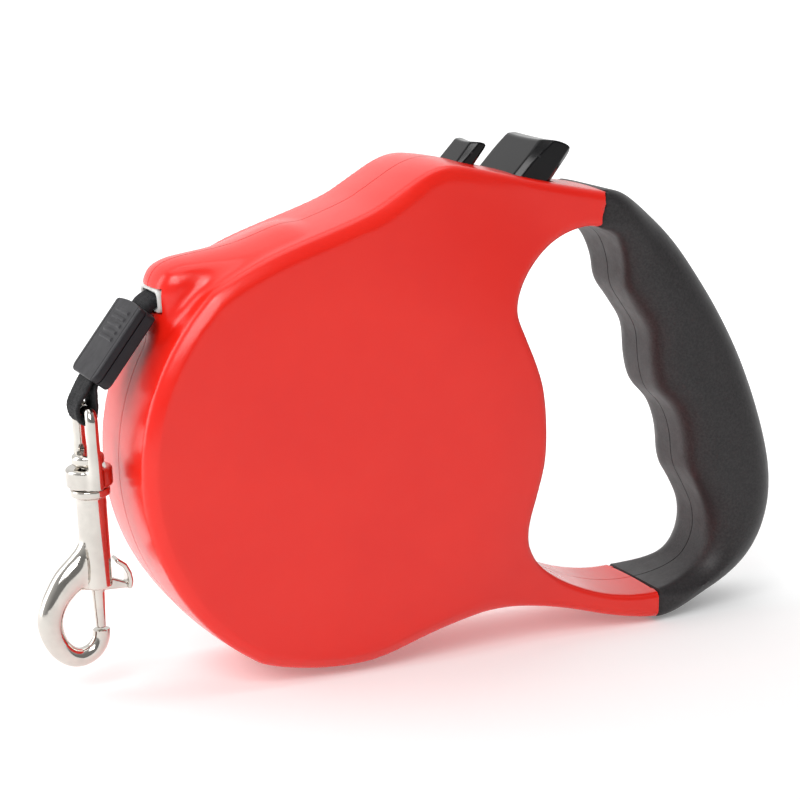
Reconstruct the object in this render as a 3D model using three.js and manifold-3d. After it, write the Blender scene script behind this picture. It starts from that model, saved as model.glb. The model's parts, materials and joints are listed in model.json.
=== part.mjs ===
// Retractable tape leash: a two-shell case with a sprung tape reel inside, a ring handle with an
// over-moulded grip, a brake button with a lock, and a swivel bolt snap on the end of the tape.
//
// Millimetres. X runs fore and aft with the tape outlet towards -X, Y is the thickness of the case
// and Z is up. Everything is laid out around the centre of the round case, and the finished group is
// moved so that the origin is the middle of the hand grip.

import * as THREE from "three";
import { mergeVertices } from "three/addons/utils/BufferGeometryUtils.js";
import Module from "manifold-3d";

const wasm = await Module();
wasm.setup();

// ---------------------------------------------------------------- driving dimensions

const GAP = 0.3;                                   // clearance between neighbouring pieces
const GRIP_CENTRE = [108, 0];                      // x and z of the middle of the hand grip
const FACETS = 44;                                 // sides of a large round
const SMALL_FACETS = 20;                           // sides of a small round

const CASE_R = 61;
const CASE_HALF_WIDTH = 18.5;
const CASE_EDGE = 3;                               // rounding of the case edges
const ARM_HALF_WIDTH = 15;
const GRIP_HALF_WIDTH = 14.2;
const GRIP_EDGE = 3;
const GRIP_SKIN = 2;                               // rubber thickness over the handle core
const CORE_HALF_WIDTH = 10.8;
const WALL = 2.5;
const CUTTER = 120;                                // reach of a cutting block, past every face

const REEL = [-2, 0];                              // x and z of the reel axis
const CHAMBER_R = 51.5;
const CHAMBER_HALF_WIDTH = CASE_HALF_WIDTH - WALL;
const AXLE_R = 4;
const HUB_R = 20;
const TAPE_WIDTH = 9.8;
const TAPE_THICKNESS = 1;
const TAPE_LENGTH = 5000;
const WINDING_R = Math.sqrt(HUB_R ** 2 + (TAPE_LENGTH * TAPE_THICKNESS) / Math.PI);
const FLANGE_R = 49;
const FLANGE_INNER_Y = 5.6;                        // tape side of each reel flange
const RATCHET_TEETH = 24;
const RATCHET_TIP_R = 50;
const RATCHET_ROOT_R = 45.6;
const RATCHET_THICKNESS = 3.5;
const SPRING_CUP_R = 36;

const MOUTH = [-52, 41];                           // x and z where the tape leaves the snout
const SNOUT_HALF_WIDTH = 8.5;
const STOPPER_LENGTH = 21.3;
const STOPPER_WIDTH = 18;
const STOPPER_THICKNESS = 5;
const HANG_ANGLE = THREE.MathUtils.degToRad(53);   // slope of the hanging stopper below level
const STOPPER_TOP = [-55.2, 38.9];                 // x and z of the middle of its upper end

const EYE = [-69.6, 14.8];                         // x and z of the snap's eye bar
const SNAP_TILT = THREE.MathUtils.degToRad(-2.7);   // the hook hangs with its weight under the eye
const EYE_WIRE_R = 1.5;
const EYE_HALF_WIDTH = 5.9;
const LOOP_WIDTH = 8.2;                            // the webbing is pinched together in the eye
const BARREL_R = 3.8;
const BOLT_BORE_R = 2.3;
const BORE_END = -11;
const BARREL_TOP = -8.4;
const BARREL_BOTTOM = -31.5;
const HOOK_WIRE_R = 2.8;
const BOLT_TOP = -20;
const DRUM_R = 5.9;                                // round foot of the eye, which the stud turns in
const DRUM_TOP = 0;
const DRUM_BOTTOM = -5;
const STUD_R = 1.75;
const HEAD_R = 4.1;                                // peened end of the stud
const HEAD_TOP = 3.4;
const FLANGE_FOOT_R = 5;

const PRESS = new THREE.Vector2(-0.66, -0.75).normalize();    // direction that both buttons travel
const ACROSS = new THREE.Vector2(-PRESS.y, PRESS.x);          // along the row of buttons, rearwards
const BRAKE_BASE = new THREE.Vector2(46.5, 68);               // middle of the brake's foot
const BRAKE_HALF_WIDTH = 11.3;
const LOCK_HALF_WIDTH = 6;
const LANE = [-9, -5.7];                           // y span of the brake plunger, over the ratchet
const CATCH_LANE = [-9, -3.2];                      // y span of the lock catch
const PLUNGER_TIP_R = RATCHET_TIP_R + 0.7;

const RED = { color: 0xe8322a, roughness: 0.35, metalness: 0 };
const BLACK = { color: 0x1b1b1d, roughness: 0.3, metalness: 0 };
const CHARCOAL = { color: 0x3c3c3e, roughness: 0.7, metalness: 0 };
const WEBBING = { color: 0x151517, roughness: 0.9, metalness: 0 };
const SILVER = { color: 0xd8d8d6, roughness: 0.35, metalness: 0.2 };
const NYLON = { color: 0xe6e4dc, roughness: 0.55, metalness: 0 };
const GREY = { color: 0x9a9c9e, roughness: 0.5, metalness: 0 };
const STEEL = { color: 0xb4b6b8, roughness: 0.3, metalness: 1 };
const NICKEL = { color: 0xd4d0ca, roughness: 0.15, metalness: 1 };

// ---------------------------------------------------------------- outlines of the body, x and z

// The outside of the case and handle: round at the front, a low crest ahead of the buttons, the
// bow of the grip at the back and a slim bar underneath.
const BODY_CREST = [
  [0, 61.6], [8.5, 66.8], [16.5, 71.2], [23, 72.7], [36, 70.6], [49, 67.6], [67, 63.9],
];
const BODY_GRIP = [
  [75.5, 61.7], [82.5, 57.9], [89, 52.8], [95.5, 46.2], [102, 37.8], [109, 27.6], [116, 15.4],
  [121.8, 2.4], [126.6, -12], [128.4, -22], [128, -31], [125, -40], [119.5, -47.2], [110, -53.4],
  [99, -57],
];
const BODY_BAR = [
  [89, -57.9], [75, -55.7], [58, -51], [38, -48.2], [20, -51.5], [2, -56.8], [-14, -56.8],
];
const CASE_ARC = { from: 246, to: 102 };            // degrees, the round front of the case

// The hand opening: flat-backed towards the case, four finger hollows in the grip.
const OPENING = [
  [66, 53], [60, 52.3], [53.5, 49.3], [47.7, 44], [44, 38], [43, 32.5], [45.3, 26.5], [48.6, 19],
  [50.9, 12], [52, 2], [51.8, -8], [49.6, -17], [47.4, -25], [47.5, -30.5], [50.5, -36],
  [56.5, -41], [64, -45], [73.6, -48.3], [84.9, -49.8], [96.4, -48.6], [104.4, -45.2],
  [108, -39], [108, -32], [105, -25], [101, -17.5], [99.6, -8], [96.6, -0.6], [91, 5.6],
  [88.9, 13], [87.8, 22], [83.5, 28.8], [79.4, 35], [78.3, 42], [74.8, 49.6],
];

// The hollow inside the core of the grip.
const GRIP_HOLLOW = [
  [84, 47], [92, 41], [99, 31], [105, 20], [110.5, 8], [114.5, -4], [118, -16], [120, -26], [119, -34],
  [115.5, -40], [112.8, -37], [112.5, -29], [109, -20], [106, -12], [104, -3], [98.5, 5.5], [94.5, 14],
  [92, 24], [87, 34], [83, 41],
];

// ---------------------------------------------------------------- geometry helpers

function signedVolume(geometry) {
  const { index, attributes: { position } } = geometry;
  const [a, b, c] = [0, 1, 2].map(() => new THREE.Vector3());
  let sum = 0;
  for (let i = 0; i < index.count; i += 3) {
    a.fromBufferAttribute(position, index.getX(i));
    b.fromBufferAttribute(position, index.getX(i + 1));
    c.fromBufferAttribute(position, index.getX(i + 2));
    sum += a.dot(b.cross(c)) / 6;
  }
  return sum;
}

// Only positions, shared between faces, without flattened triangles and with its faces pointing out.
function plain(geometry) {
  geometry.deleteAttribute("normal");
  geometry.deleteAttribute("uv");
  const merged = mergeVertices(geometry, 1e-4);
  const outwards = signedVolume(merged) > 0;
  const kept = [];
  for (let i = 0; i < merged.index.count; i += 3) {
    const [a, b, c] = [0, 1, 2].map((k) => merged.index.getX(i + k));
    if (a !== b && b !== c && c !== a) {
      kept.push(...(outwards ? [a, b, c] : [a, c, b]));
    }
  }
  merged.setIndex(kept);
  return merged;
}

function solid(geometry) {
  const merged = plain(geometry);
  const vertProperties = new Float32Array(merged.attributes.position.array);
  const triVerts = new Uint32Array(merged.index.array);
  return new wasm.Manifold(new wasm.Mesh({ numProp: 3, vertProperties, triVerts }));
}

function geometryOf(manifold) {
  const mesh = manifold.getMesh();
  const geometry = new THREE.BufferGeometry();
  geometry.setAttribute("position", new THREE.BufferAttribute(mesh.vertProperties, 3));
  geometry.setIndex(new THREE.BufferAttribute(mesh.triVerts, 1));
  geometry.computeVertexNormals();
  return geometry;
}

function joined(...solids) {
  return solids.reduce((whole, piece) => whole.add(piece));
}

function cut(body, ...tools) {
  return tools.reduce((rest, tool) => rest.subtract(tool), body);
}

// A shape drawn in x and z, made solid between two y values.
function slab(shape, yLow, yHigh) {
  const geometry = new THREE.ExtrudeGeometry(shape, { depth: yHigh - yLow, bevelEnabled: false });
  geometry.rotateX(Math.PI / 2);
  geometry.translate(0, yHigh, 0);
  return geometry;
}

// The same, centred on y = 0, its outline drawn in by an inset and its edges rounded.
function roundedSlab(shape, halfWidth, edge, inset = 0, segments = 2) {
  const geometry = new THREE.ExtrudeGeometry(shape, {
    depth: 2 * (halfWidth - edge), bevelEnabled: true, bevelThickness: edge, bevelSize: edge,
    bevelOffset: -edge - inset, bevelSegments: segments,
  });
  geometry.rotateX(Math.PI / 2);
  geometry.translate(0, halfWidth - edge, 0);
  return geometry;
}

function points(pairs) {
  return pairs.map(([x, z]) => new THREE.Vector2(x, z));
}

function smoothLoop(pairs, count) {
  const curve = new THREE.CatmullRomCurve3(
    pairs.map(([x, z]) => new THREE.Vector3(x, z, 0)), true, "centripetal");
  return curve.getPoints(count).slice(0, -1).map((p) => new THREE.Vector2(p.x, p.y));
}

// A closed polygon whose corners are rounded with quadratic curves of the given reach.
function roundedPolygon(pairs, reach, divisions = 4) {
  const corners = points(pairs);
  const outline = corners.flatMap((corner, i) => {
    const before = corners[(i + corners.length - 1) % corners.length];
    const after = corners[(i + 1) % corners.length];
    const start = corner.clone().add(before.clone().sub(corner).setLength(reach[i]));
    const end = corner.clone().add(after.clone().sub(corner).setLength(reach[i]));
    return new THREE.QuadraticBezierCurve(start, corner, end).getPoints(divisions);
  });
  return new THREE.Shape(outline);
}

function polygon(pairs) {
  return new THREE.Shape(points(pairs));
}

// A box between two corners.
function box(low, high) {
  const size = high.map((value, axis) => value - low[axis]);
  const geometry = new THREE.BoxGeometry(...size);
  geometry.translate(...low.map((value, axis) => value + size[axis] / 2));
  return geometry;
}

// A solid turned about an axis parallel to Y through (x, z). The profile holds [radius, y] pairs and
// starts and ends on the axis, or closes on itself.
function turned(profile, [x, z], facets = FACETS) {
  const geometry = new THREE.LatheGeometry(points(profile), facets);
  geometry.translate(x, 0, z);
  return geometry;
}

// A solid turned about a vertical axis through (x, 0). The profile holds [radius, z] pairs.
function turnedUpright(profile, x, facets = SMALL_FACETS) {
  const geometry = new THREE.LatheGeometry(points(profile), facets);
  geometry.rotateX(Math.PI / 2);
  geometry.translate(x, 0, 0);
  return geometry;
}

function rod(radius, yLow, yHigh, centre, facets = SMALL_FACETS) {
  return turned([[0, yLow], [radius, yLow], [radius, yHigh], [0, yHigh]], centre, facets);
}

function ring(inner, outer, yLow, yHigh, centre, facets = FACETS) {
  const profile = [[inner, yLow], [outer, yLow], [outer, yHigh], [inner, yHigh], [inner, yLow]];
  return turned(profile, centre, facets);
}

function wire(curve, radius, steps, sides) {
  const section = [];
  for (let i = 0; i < sides; i += 1) {
    const angle = (2 * Math.PI * i) / sides;
    section.push(new THREE.Vector2(radius * Math.cos(angle), radius * Math.sin(angle)));
  }
  return new THREE.ExtrudeGeometry(new THREE.Shape(section), { steps, extrudePath: curve });
}

// A helical spring about the line from one point to another.
class Helix extends THREE.Curve {
  constructor(start, end, radius, turns) {
    super();
    this.start = start;
    this.along = end.clone().sub(start);
    this.radius = radius;
    this.turns = turns;
    this.side = new THREE.Vector3(0, 1, 0);
    if (Math.abs(this.along.clone().normalize().y) > 0.9) {
      this.side.set(1, 0, 0);
    }
    this.other = this.along.clone().normalize().cross(this.side);
  }

  getPoint(t, target = new THREE.Vector3()) {
    const angle = 2 * Math.PI * this.turns * t;
    return target.copy(this.start)
      .addScaledVector(this.along, t)
      .addScaledVector(this.side, this.radius * Math.cos(angle))
      .addScaledVector(this.other, this.radius * Math.sin(angle));
  }
}

function coil(start, end, radius, turns, wireRadius) {
  const stepsPerTurn = 8;
  const sides = 4;
  return wire(new Helix(start, end, radius, turns), wireRadius, turns * stepsPerTurn, sides);
}

// ---------------------------------------------------------------- places worked out from the above

// x and z of a point given along the button row and along the button's travel, upwards.
function lean(across, up) {
  return [
    BRAKE_BASE.x + across * ACROSS.x - up * PRESS.x,
    BRAKE_BASE.y + across * ACROSS.y - up * PRESS.y,
  ];
}

// Where the straight run of tape leaves the winding on its way to the mouth.
function tapeTangent() {
  const toMouth = new THREE.Vector2(MOUTH[0] - REEL[0], MOUTH[1] - REEL[1]);
  const angle = toMouth.angle() - Math.acos(WINDING_R / toMouth.length());
  return new THREE.Vector2(REEL[0] + WINDING_R * Math.cos(angle), REEL[1] + WINDING_R * Math.sin(angle));
}

const TANGENT = tapeTangent();
const TAPE_RUN = new THREE.Vector2(...MOUTH).sub(TANGENT);
const TAPE_TILT = Math.atan2(-TAPE_RUN.y, -TAPE_RUN.x);        // small: the run is nearly level
const STOPPER_DOWN = new THREE.Vector2(-Math.cos(HANG_ANGLE), -Math.sin(HANG_ANGLE));

// How far down its travel line the plunger reaches the tips of the ratchet teeth.
function plungerReach() {
  const from = BRAKE_BASE.clone().sub(new THREE.Vector2(...REEL));
  const along = -from.dot(PRESS);
  const miss = from.lengthSq() - along ** 2;
  return along - Math.sqrt(PLUNGER_TIP_R ** 2 - miss);
}

const PLUNGER_LENGTH = plungerReach();

function plungerAngle() {
  const tip = lean(0, -PLUNGER_LENGTH);
  return Math.atan2(tip[1] - REEL[1], tip[0] - REEL[0]);
}

// Screw places around the case, x and z.
const SCREWS = [[-54.5, -17.5], [-24, -51], [51.5, -43.8], [5, 58.6], [61.5, 58.6]];
const SCREW_R = 1.1;
const SCREW_HEAD_R = 2.2;
const SCREW_SEAT_Y = 9;                             // underside of the screw heads
const SCREW_END_Y = -11.5;

// Screws and pin that hold the reel together, x and z.
const ANCHOR_R = 1.2;
const FLANGE_SCREW_R = 0.9;
const CLAMP_R = 17.8;                               // circle that they sit on

function onReel(radius, degrees) {
  const angle = THREE.MathUtils.degToRad(degrees);
  return [REEL[0] + radius * Math.cos(angle), REEL[1] + radius * Math.sin(angle)];
}

const ANCHOR = onReel(CLAMP_R, 0);
const FLANGE_SCREWS = [60, 180, 300].map((degrees) => onReel(CLAMP_R, degrees));

// ---------------------------------------------------------------- case shells and grip

function bodyShape() {
  const start = THREE.MathUtils.degToRad(CASE_ARC.from);
  const end = THREE.MathUtils.degToRad(CASE_ARC.to);
  const arcSteps = 26;
  const arc = [];
  for (let i = 1; i < arcSteps; i += 1) {
    const angle = start + ((end - start) * i) / arcSteps;
    arc.push([CASE_R * Math.cos(angle), CASE_R * Math.sin(angle)]);
  }
  const outline = [...BODY_CREST, ...BODY_GRIP, ...BODY_BAR, ...arc];
  const shape = new THREE.Shape(smoothLoop(outline, 110));
  shape.holes.push(new THREE.Path(smoothLoop(OPENING, 78)));
  return shape;
}

const BODY = bodyShape();

// The part of the handle that carries rubber, drawn back from its two ends by a margin.
function gripZone(margin) {
  return solid(slab(polygon([
    [69.5 + margin, 75], [67.2 + margin, 48], [89 + margin, -40], [89 + margin, -70], [140, -70], [140, 75],
  ]), -30, 30));
}

// Full width around the case, narrowing towards the handle.
function planTaper() {
  const full = CASE_HALF_WIDTH + 1;
  const slim = ARM_HALF_WIDTH - 0.5;
  const plan = polygon([[-100, -full], [45, -full], [72, -slim], [72, slim], [45, full], [-100, full]]);
  const geometry = new THREE.ExtrudeGeometry(plan, { depth: 2 * CUTTER, bevelEnabled: false });
  geometry.translate(0, 0, -CUTTER);
  return solid(geometry);
}

function snoutSolid() {
  const outline = roundedPolygon([
    [-51.5, 29.5], [-52.2, 38], [-51.4, 50.6], [-42, 51], [-27, 53], [-12, 57], [-8, 48], [-30, 32],
  ], [3, 3, 4, 3, 4, 3, 3, 4]);
  return solid(roundedSlab(outline, SNOUT_HALF_WIDTH, 1.4));
}

// Places a piece drawn at the mouth, with +X running back along the tape.
function tapeFrame(geometry) {
  geometry.rotateY(-TAPE_TILT);
  geometry.translate(MOUTH[0], 0, MOUTH[1]);
  return geometry;
}

// The seat of the outlet insert, the slot behind it and the hollow of the guide pin.
function tapeChannel() {
  const [seatY, seatZ] = GUIDE_OUTER.map((half) => half + GAP);
  const [slotY, slotZ] = GUIDE_SLOT.map((half) => half + GAP);
  const seat = solid(tapeFrame(box([-4, -seatY, -seatZ], [GUIDE_DEPTH + GAP, seatY, seatZ])));
  const slot = solid(tapeFrame(box([GUIDE_DEPTH - 1, -slotY, -slotZ], [26, slotY, slotZ])));
  const pinHollow = solid(rod(GUIDE_PIN_R + GAP, -GUIDE_PIN_END - GAP, GUIDE_PIN_END + GAP, GUIDE_PIN));
  return joined(seat, slot, pinHollow);
}

function chamber() {
  const corner = 2;
  return solid(turned([
    [0, -CHAMBER_HALF_WIDTH], [CHAMBER_R - corner, -CHAMBER_HALF_WIDTH],
    [CHAMBER_R, corner - CHAMBER_HALF_WIDTH], [CHAMBER_R, CHAMBER_HALF_WIDTH - corner],
    [CHAMBER_R - corner, CHAMBER_HALF_WIDTH], [0, CHAMBER_HALF_WIDTH],
  ], REEL));
}

function leanPolygon(pairs) {
  return polygon(pairs.map(([across, up]) => lean(across, up)));
}

// Room for the two buttons, the brake plunger, the lock catch and their springs.
function buttonPockets() {
  const springRoom = slab(leanPolygon([
    [-15.3, -20.5], [-9.3, -20.5], [-9.3, -15.5], [9, -15.5], [9, 0.7], [-15.3, -11.5],
  ]), -4.5, 8.8);
  const brakeWell = slab(leanPolygon([
    [-2, 12], [-2, -11.6], [8.9, -6.1], [8.9, 22],
  ]), -BRAKE_HALF_WIDTH - GAP, BRAKE_HALF_WIDTH + GAP);
  const lockWell = slab(leanPolygon([
    [-14.8, 4], [-14.8, -15.1], [-9.2, -12.2], [-9.2, 8],
  ]), -LOCK_HALF_WIDTH - GAP, LOCK_HALF_WIDTH + GAP);
  const plungerLane = slab(leanPolygon([
    [-4.6, -7.6], [-4.6, -38], [4.6, -38], [4.6, -3.4],
  ]), LANE[0] - 0.5, LANE[1] + 0.5);
  const catchLane = slab(leanPolygon([
    [-14.8, -11.8], [-14.8, -21.8], [-4, -21.8], [-4, -15.2], [-9.6, -15.2], [-9.6, -9.4],
  ]), CATCH_LANE[0] - 0.5, CATCH_LANE[1] + 0.5);
  return [springRoom, brakeWell, lockWell, plungerLane, catchLane].map(solid);
}

function handleHollow() {
  const depth = CORE_HALF_WIDTH - WALL;
  return solid(slab(new THREE.Shape(smoothLoop(GRIP_HOLLOW, 40)), -depth, depth));
}

function screwHole(place) {
  const shank = solid(rod(SCREW_R + GAP, SCREW_END_Y - 0.5, SCREW_SEAT_Y, place, 12));
  const head = solid(rod(SCREW_HEAD_R + GAP, SCREW_SEAT_Y - GAP, CASE_HALF_WIDTH + 1, place, 16));
  return shank.add(head);
}

function bodySolid() {
  const shell = solid(roundedSlab(BODY, CASE_HALF_WIDTH, CASE_EDGE)).intersect(planTaper());
  const arms = solid(roundedSlab(BODY, ARM_HALF_WIDTH, CASE_EDGE));
  const core = solid(roundedSlab(BODY, CORE_HALF_WIDTH, 1, GRIP_SKIN, 1));
  const outside = joined(cut(shell.add(arms), gripZone(0)), core, snoutSolid());
  const hollow = cut(outside, chamber(), tapeChannel(), handleHollow(), ...buttonPockets());
  const boss = solid(ring(AXLE_R + GAP, AXLE_R + 4, -CHAMBER_HALF_WIDTH - 0.5, -11, REEL, 28));
  const socket = solid(rod(AXLE_R + GAP, -CHAMBER_HALF_WIDTH - 1.2, CHAMBER_HALF_WIDTH + 1.2, REEL));
  return cut(hollow.add(boss), socket, ...SCREWS.map(screwHole));
}

function gripSolid() {
  const outside = solid(roundedSlab(BODY, GRIP_HALF_WIDTH, GRIP_EDGE));
  const core = solid(roundedSlab(BODY, CORE_HALF_WIDTH + GAP, 1, GRIP_SKIN - GAP, 1));
  return cut(outside.intersect(gripZone(GAP)), core);
}

// The half of a body on one side of the parting plane: side is -1 or 1.
function half(body, side) {
  const near = (side * GAP) / 2;
  const far = side * 2 * CASE_HALF_WIDTH;
  const low = [-CUTTER, Math.min(near, far), -CUTTER];
  const high = [CUTTER + CASE_R, Math.max(near, far), CUTTER];
  return body.intersect(solid(box(low, high)));
}

function housingScrew(place) {
  const top = SCREW_SEAT_Y + 1.8;
  return turned([
    [0, SCREW_END_Y], [SCREW_R * 0.6, SCREW_END_Y], [SCREW_R, SCREW_END_Y + 2], [SCREW_R, SCREW_SEAT_Y],
    [SCREW_HEAD_R, SCREW_SEAT_Y], [SCREW_HEAD_R, top - 0.7], [SCREW_HEAD_R * 0.6, top], [0, top],
  ], place, 14);
}

// ---------------------------------------------------------------- outlet

const GUIDE_OUTER = [6.6, 2.9];                     // half width and half height of the insert
const GUIDE_SLOT = [5.3, 1.3];
const GUIDE_DEPTH = 6;
const GUIDE_PIN = [-41.5, 38.9];
const GUIDE_PIN_R = 2;
const GUIDE_PIN_END = 6.7;

function rectangle([halfWidth, halfHeight]) {
  return points([
    [-halfWidth, -halfHeight], [halfWidth, -halfHeight], [halfWidth, halfHeight], [-halfWidth, halfHeight],
  ]);
}

// A shape drawn in y and z, made solid between two x values.
function plate(shape, xLow, xHigh) {
  const geometry = new THREE.ExtrudeGeometry(shape, { depth: xHigh - xLow, bevelEnabled: false });
  geometry.rotateX(Math.PI / 2);
  geometry.rotateZ(Math.PI / 2);
  geometry.translate(xLow, 0, 0);
  return geometry;
}

function nozzleGuide() {
  const frame = new THREE.Shape(rectangle(GUIDE_OUTER));
  frame.holes.push(new THREE.Path(rectangle(GUIDE_SLOT)));
  return tapeFrame(plate(frame, 0, GUIDE_DEPTH));
}

// The straight run of tape from the winding to the mouth.
function tapeRun() {
  const inner = TAPE_RUN.length() - 5;
  return tapeFrame(box(
    [-0.4, -TAPE_WIDTH / 2, -TAPE_THICKNESS / 2], [inner, TAPE_WIDTH / 2, TAPE_THICKNESS / 2]));
}

// ---------------------------------------------------------------- reel

function reelDrum() {
  const pitch = 360 / RATCHET_TEETH;
  const first = THREE.MathUtils.radToDeg(plungerAngle());
  const tooth = [
    [RATCHET_ROOT_R, 0.2], [RATCHET_TIP_R, 0.3], [RATCHET_TIP_R, 0.7], [RATCHET_ROOT_R, 0.8],
  ];
  const outline = [];
  for (let i = 0; i < RATCHET_TEETH; i += 1) {
    tooth.forEach(([radius, share]) => outline.push(onReel(radius, first + (i + share) * pitch)));
  }
  const face = -FLANGE_INNER_Y;
  const ratchet = solid(slab(polygon(outline), face - RATCHET_THICKNESS, face));
  const hub = solid(rod(HUB_R, face - 1, FLANGE_INNER_Y - GAP, REEL, FACETS));
  const collar = solid(rod(AXLE_R + 3.5, -10.6, face, REEL, 28));
  const lightening = solid(ring(AXLE_R + 3, HUB_R - 4.5, -3, 10, REEL, 32));
  const bore = solid(rod(AXLE_R + GAP, -20, 20, REEL));
  const anchorHole = solid(rod(ANCHOR_R + GAP, -5, 20, ANCHOR, 12));
  const pilots = FLANGE_SCREWS.map((place) => solid(rod(FLANGE_SCREW_R + GAP, -1, 20, place, 10)));
  return cut(joined(ratchet, hub, collar), lightening, bore, anchorHole, ...pilots);
}

function reelFlange() {
  const disc = solid(ring(AXLE_R + GAP, FLANGE_R, FLANGE_INNER_Y, FLANGE_INNER_Y + 1.6, REEL));
  const holes = FLANGE_SCREWS.map((place) => solid(rod(FLANGE_SCREW_R + GAP, 0, 20, place, 10)));
  return cut(disc, ...holes);
}

function flangeScrew(place) {
  const seat = FLANGE_INNER_Y + 1.6 + 0.2;
  return turned([
    [0, 0], [FLANGE_SCREW_R, 0], [FLANGE_SCREW_R, seat], [1.7, seat], [1.7, seat + 0.8], [0, seat + 0.8],
  ], place, 10);
}

const CUP_FLOOR = FLANGE_INNER_Y + 3;
const CUP_RIM = 14.6;

function springCup() {
  const inner = SPRING_CUP_R - 1.6;
  return turned([
    [AXLE_R + GAP, CUP_FLOOR], [SPRING_CUP_R, CUP_FLOOR], [SPRING_CUP_R, CUP_RIM], [inner, CUP_RIM],
    [inner, CUP_FLOOR + 1], [AXLE_R + GAP, CUP_FLOOR + 1], [AXLE_R + GAP, CUP_FLOOR],
  ], REEL);
}

function springCover() {
  return ring(AXLE_R + 2, SPRING_CUP_R, CUP_RIM + 0.4, CUP_RIM + 1, REEL);
}

// The flat power spring: a spiral of strip between the axle and the wall of the cup.
function powerSpring() {
  const turns = 5;
  const stepsPerTurn = 18;
  const strip = 0.9;
  const inner = AXLE_R + 1.2;
  const outer = SPRING_CUP_R - 3.2;
  const inside = [];
  const outside = [];
  for (let i = 0; i <= turns * stepsPerTurn; i += 1) {
    const degrees = (360 * i) / stepsPerTurn;
    const radius = inner + ((outer - inner) * i) / (turns * stepsPerTurn);
    inside.push(onReel(radius, degrees));
    outside.unshift(onReel(radius + strip, degrees));
  }
  return slab(polygon([...inside, ...outside]), CUP_FLOOR + 1.3, CUP_RIM);
}

function tapeWinding() {
  return ring(HUB_R + GAP, WINDING_R - GAP, -TAPE_WIDTH / 2, TAPE_WIDTH / 2, REEL);
}

// ---------------------------------------------------------------- brake and lock

// Corners are [along the row of buttons, up the travel] and each has the reach of its rounding.
function button(corners, reach, halfWidth) {
  const outline = roundedPolygon(corners.map(([across, up]) => lean(across, up)), reach);
  return roundedSlab(outline, halfWidth, 0.5, 0, 1);
}

function brakeButton() {
  const corners = [[-1.6, -6.8], [8.5, -1.8], [7.5, 14.3], [-1.2, 10.2]];
  return button(corners, [1.6, 1.8, 3.5, 1.8], BRAKE_HALF_WIDTH);
}

function lockButton() {
  const corners = [[-14.4, -12], [-9.7, -9.6], [-10.4, 0.4], [-14.4, -1.6]];
  return button(corners, [1.4, 1.4, 1.8, 1.4], LOCK_HALF_WIDTH);
}

function brakePlunger() {
  return slab(leanPolygon([
    [-1.4, -7.1], [-1.2, -PLUNGER_LENGTH], [1.2, -PLUNGER_LENGTH], [4, 6 - PLUNGER_LENGTH], [4, -4.4],
  ]), ...LANE);
}

function lockCatch() {
  return slab(leanPolygon([
    [-14.2, -12.3], [-14.2, -18.6], [-4.7, -18.6], [-4.7, -16], [-10.2, -16], [-10.2, -10.3],
  ]), ...CATCH_LANE);
}

const BRAKE_SPRING = { across: 3, top: -5.7, bottom: -15.2, y: 3, radius: 2.6 };
const LOCK_SPRING = { across: -12.2, top: -12.1, bottom: -20.2, y: 2, radius: 2 };

// Across and up run along the row of buttons and up their travel.
function buttonSpring({ across, top, bottom, y, radius }) {
  const ends = [top, bottom].map((up) => {
    const [x, z] = lean(across, up);
    return new THREE.Vector3(x, y, z);
  });
  return coil(...ends, radius, 4, 0.4);
}

// ---------------------------------------------------------------- stopper and webbing loop

// Places a piece drawn hanging straight down from the origin, its front towards -X.
function stopperFrame(geometry) {
  geometry.rotateY(Math.PI / 2 - HANG_ANGLE);
  geometry.translate(STOPPER_TOP[0], 0, STOPPER_TOP[1]);
  return geometry;
}

function stopperPoint(x, z) {
  const tilt = Math.PI / 2 - HANG_ANGLE;
  return [
    STOPPER_TOP[0] + x * Math.cos(tilt) + z * Math.sin(tilt),
    STOPPER_TOP[1] - x * Math.sin(tilt) + z * Math.cos(tilt),
  ];
}

function stopperOutline() {
  const side = STOPPER_WIDTH / 2;
  return roundedPolygon([
    [-side, 0], [-side, -STOPPER_LENGTH], [side, -STOPPER_LENGTH], [side, 0],
  ], [1.5, 1.2, 1.2, 1.5]);
}

function webbingPassage() {
  return solid(stopperFrame(box([-1.3, -5.2, -STOPPER_LENGTH - 2], [1.3, 5.2, 2])));
}

function stopperBody() {
  const back = solid(stopperFrame(plate(stopperOutline(), -0.35, STOPPER_THICKNESS / 2)));
  return cut(back, webbingPassage());
}

function stopperCover() {
  const front = -STOPPER_THICKNESS / 2;
  const ribs = [];
  const ribPitch = 1.9;
  for (let i = 0; i < 5; i += 1) {
    const z = -2.6 - i * ribPitch;
    ribs.push(solid(stopperFrame(box([front - 0.4, -5, z - 0.5], [front + 0.2, 5, z + 0.5]))));
  }
  const lid = solid(stopperFrame(plate(stopperOutline(), front, -0.65)));
  return cut(joined(lid, ...ribs), webbingPassage());
}

const LOOP_HOLE_R = 2;

// The sewn end of the tape: two layers through the stopper, then a loop around the snap's eye bar.
function webbingLoop() {
  const halfWidth = TAPE_WIDTH / 2;
  const foot = STOPPER_LENGTH + 0.3;
  const doubled = solid(stopperFrame(box([-1, -halfWidth, -foot - 0.3], [1, halfWidth, 1.6])));
  const pinched = LOOP_WIDTH / 2;
  const fall = solid(slab(polygon([
    stopperPoint(-1, -foot), [EYE[0] - 2.6, EYE[1] + 1.5],
    [EYE[0] + 2.6, EYE[1] + 1.5], stopperPoint(1, -foot),
  ]), -pinched, pinched));
  const round = solid(rod(LOOP_HOLE_R + 1, -pinched, pinched, EYE));
  const hole = solid(rod(LOOP_HOLE_R, -10, 10, EYE));
  return cut(joined(doubled, fall, round), hole);
}

// ---------------------------------------------------------------- bolt snap

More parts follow.
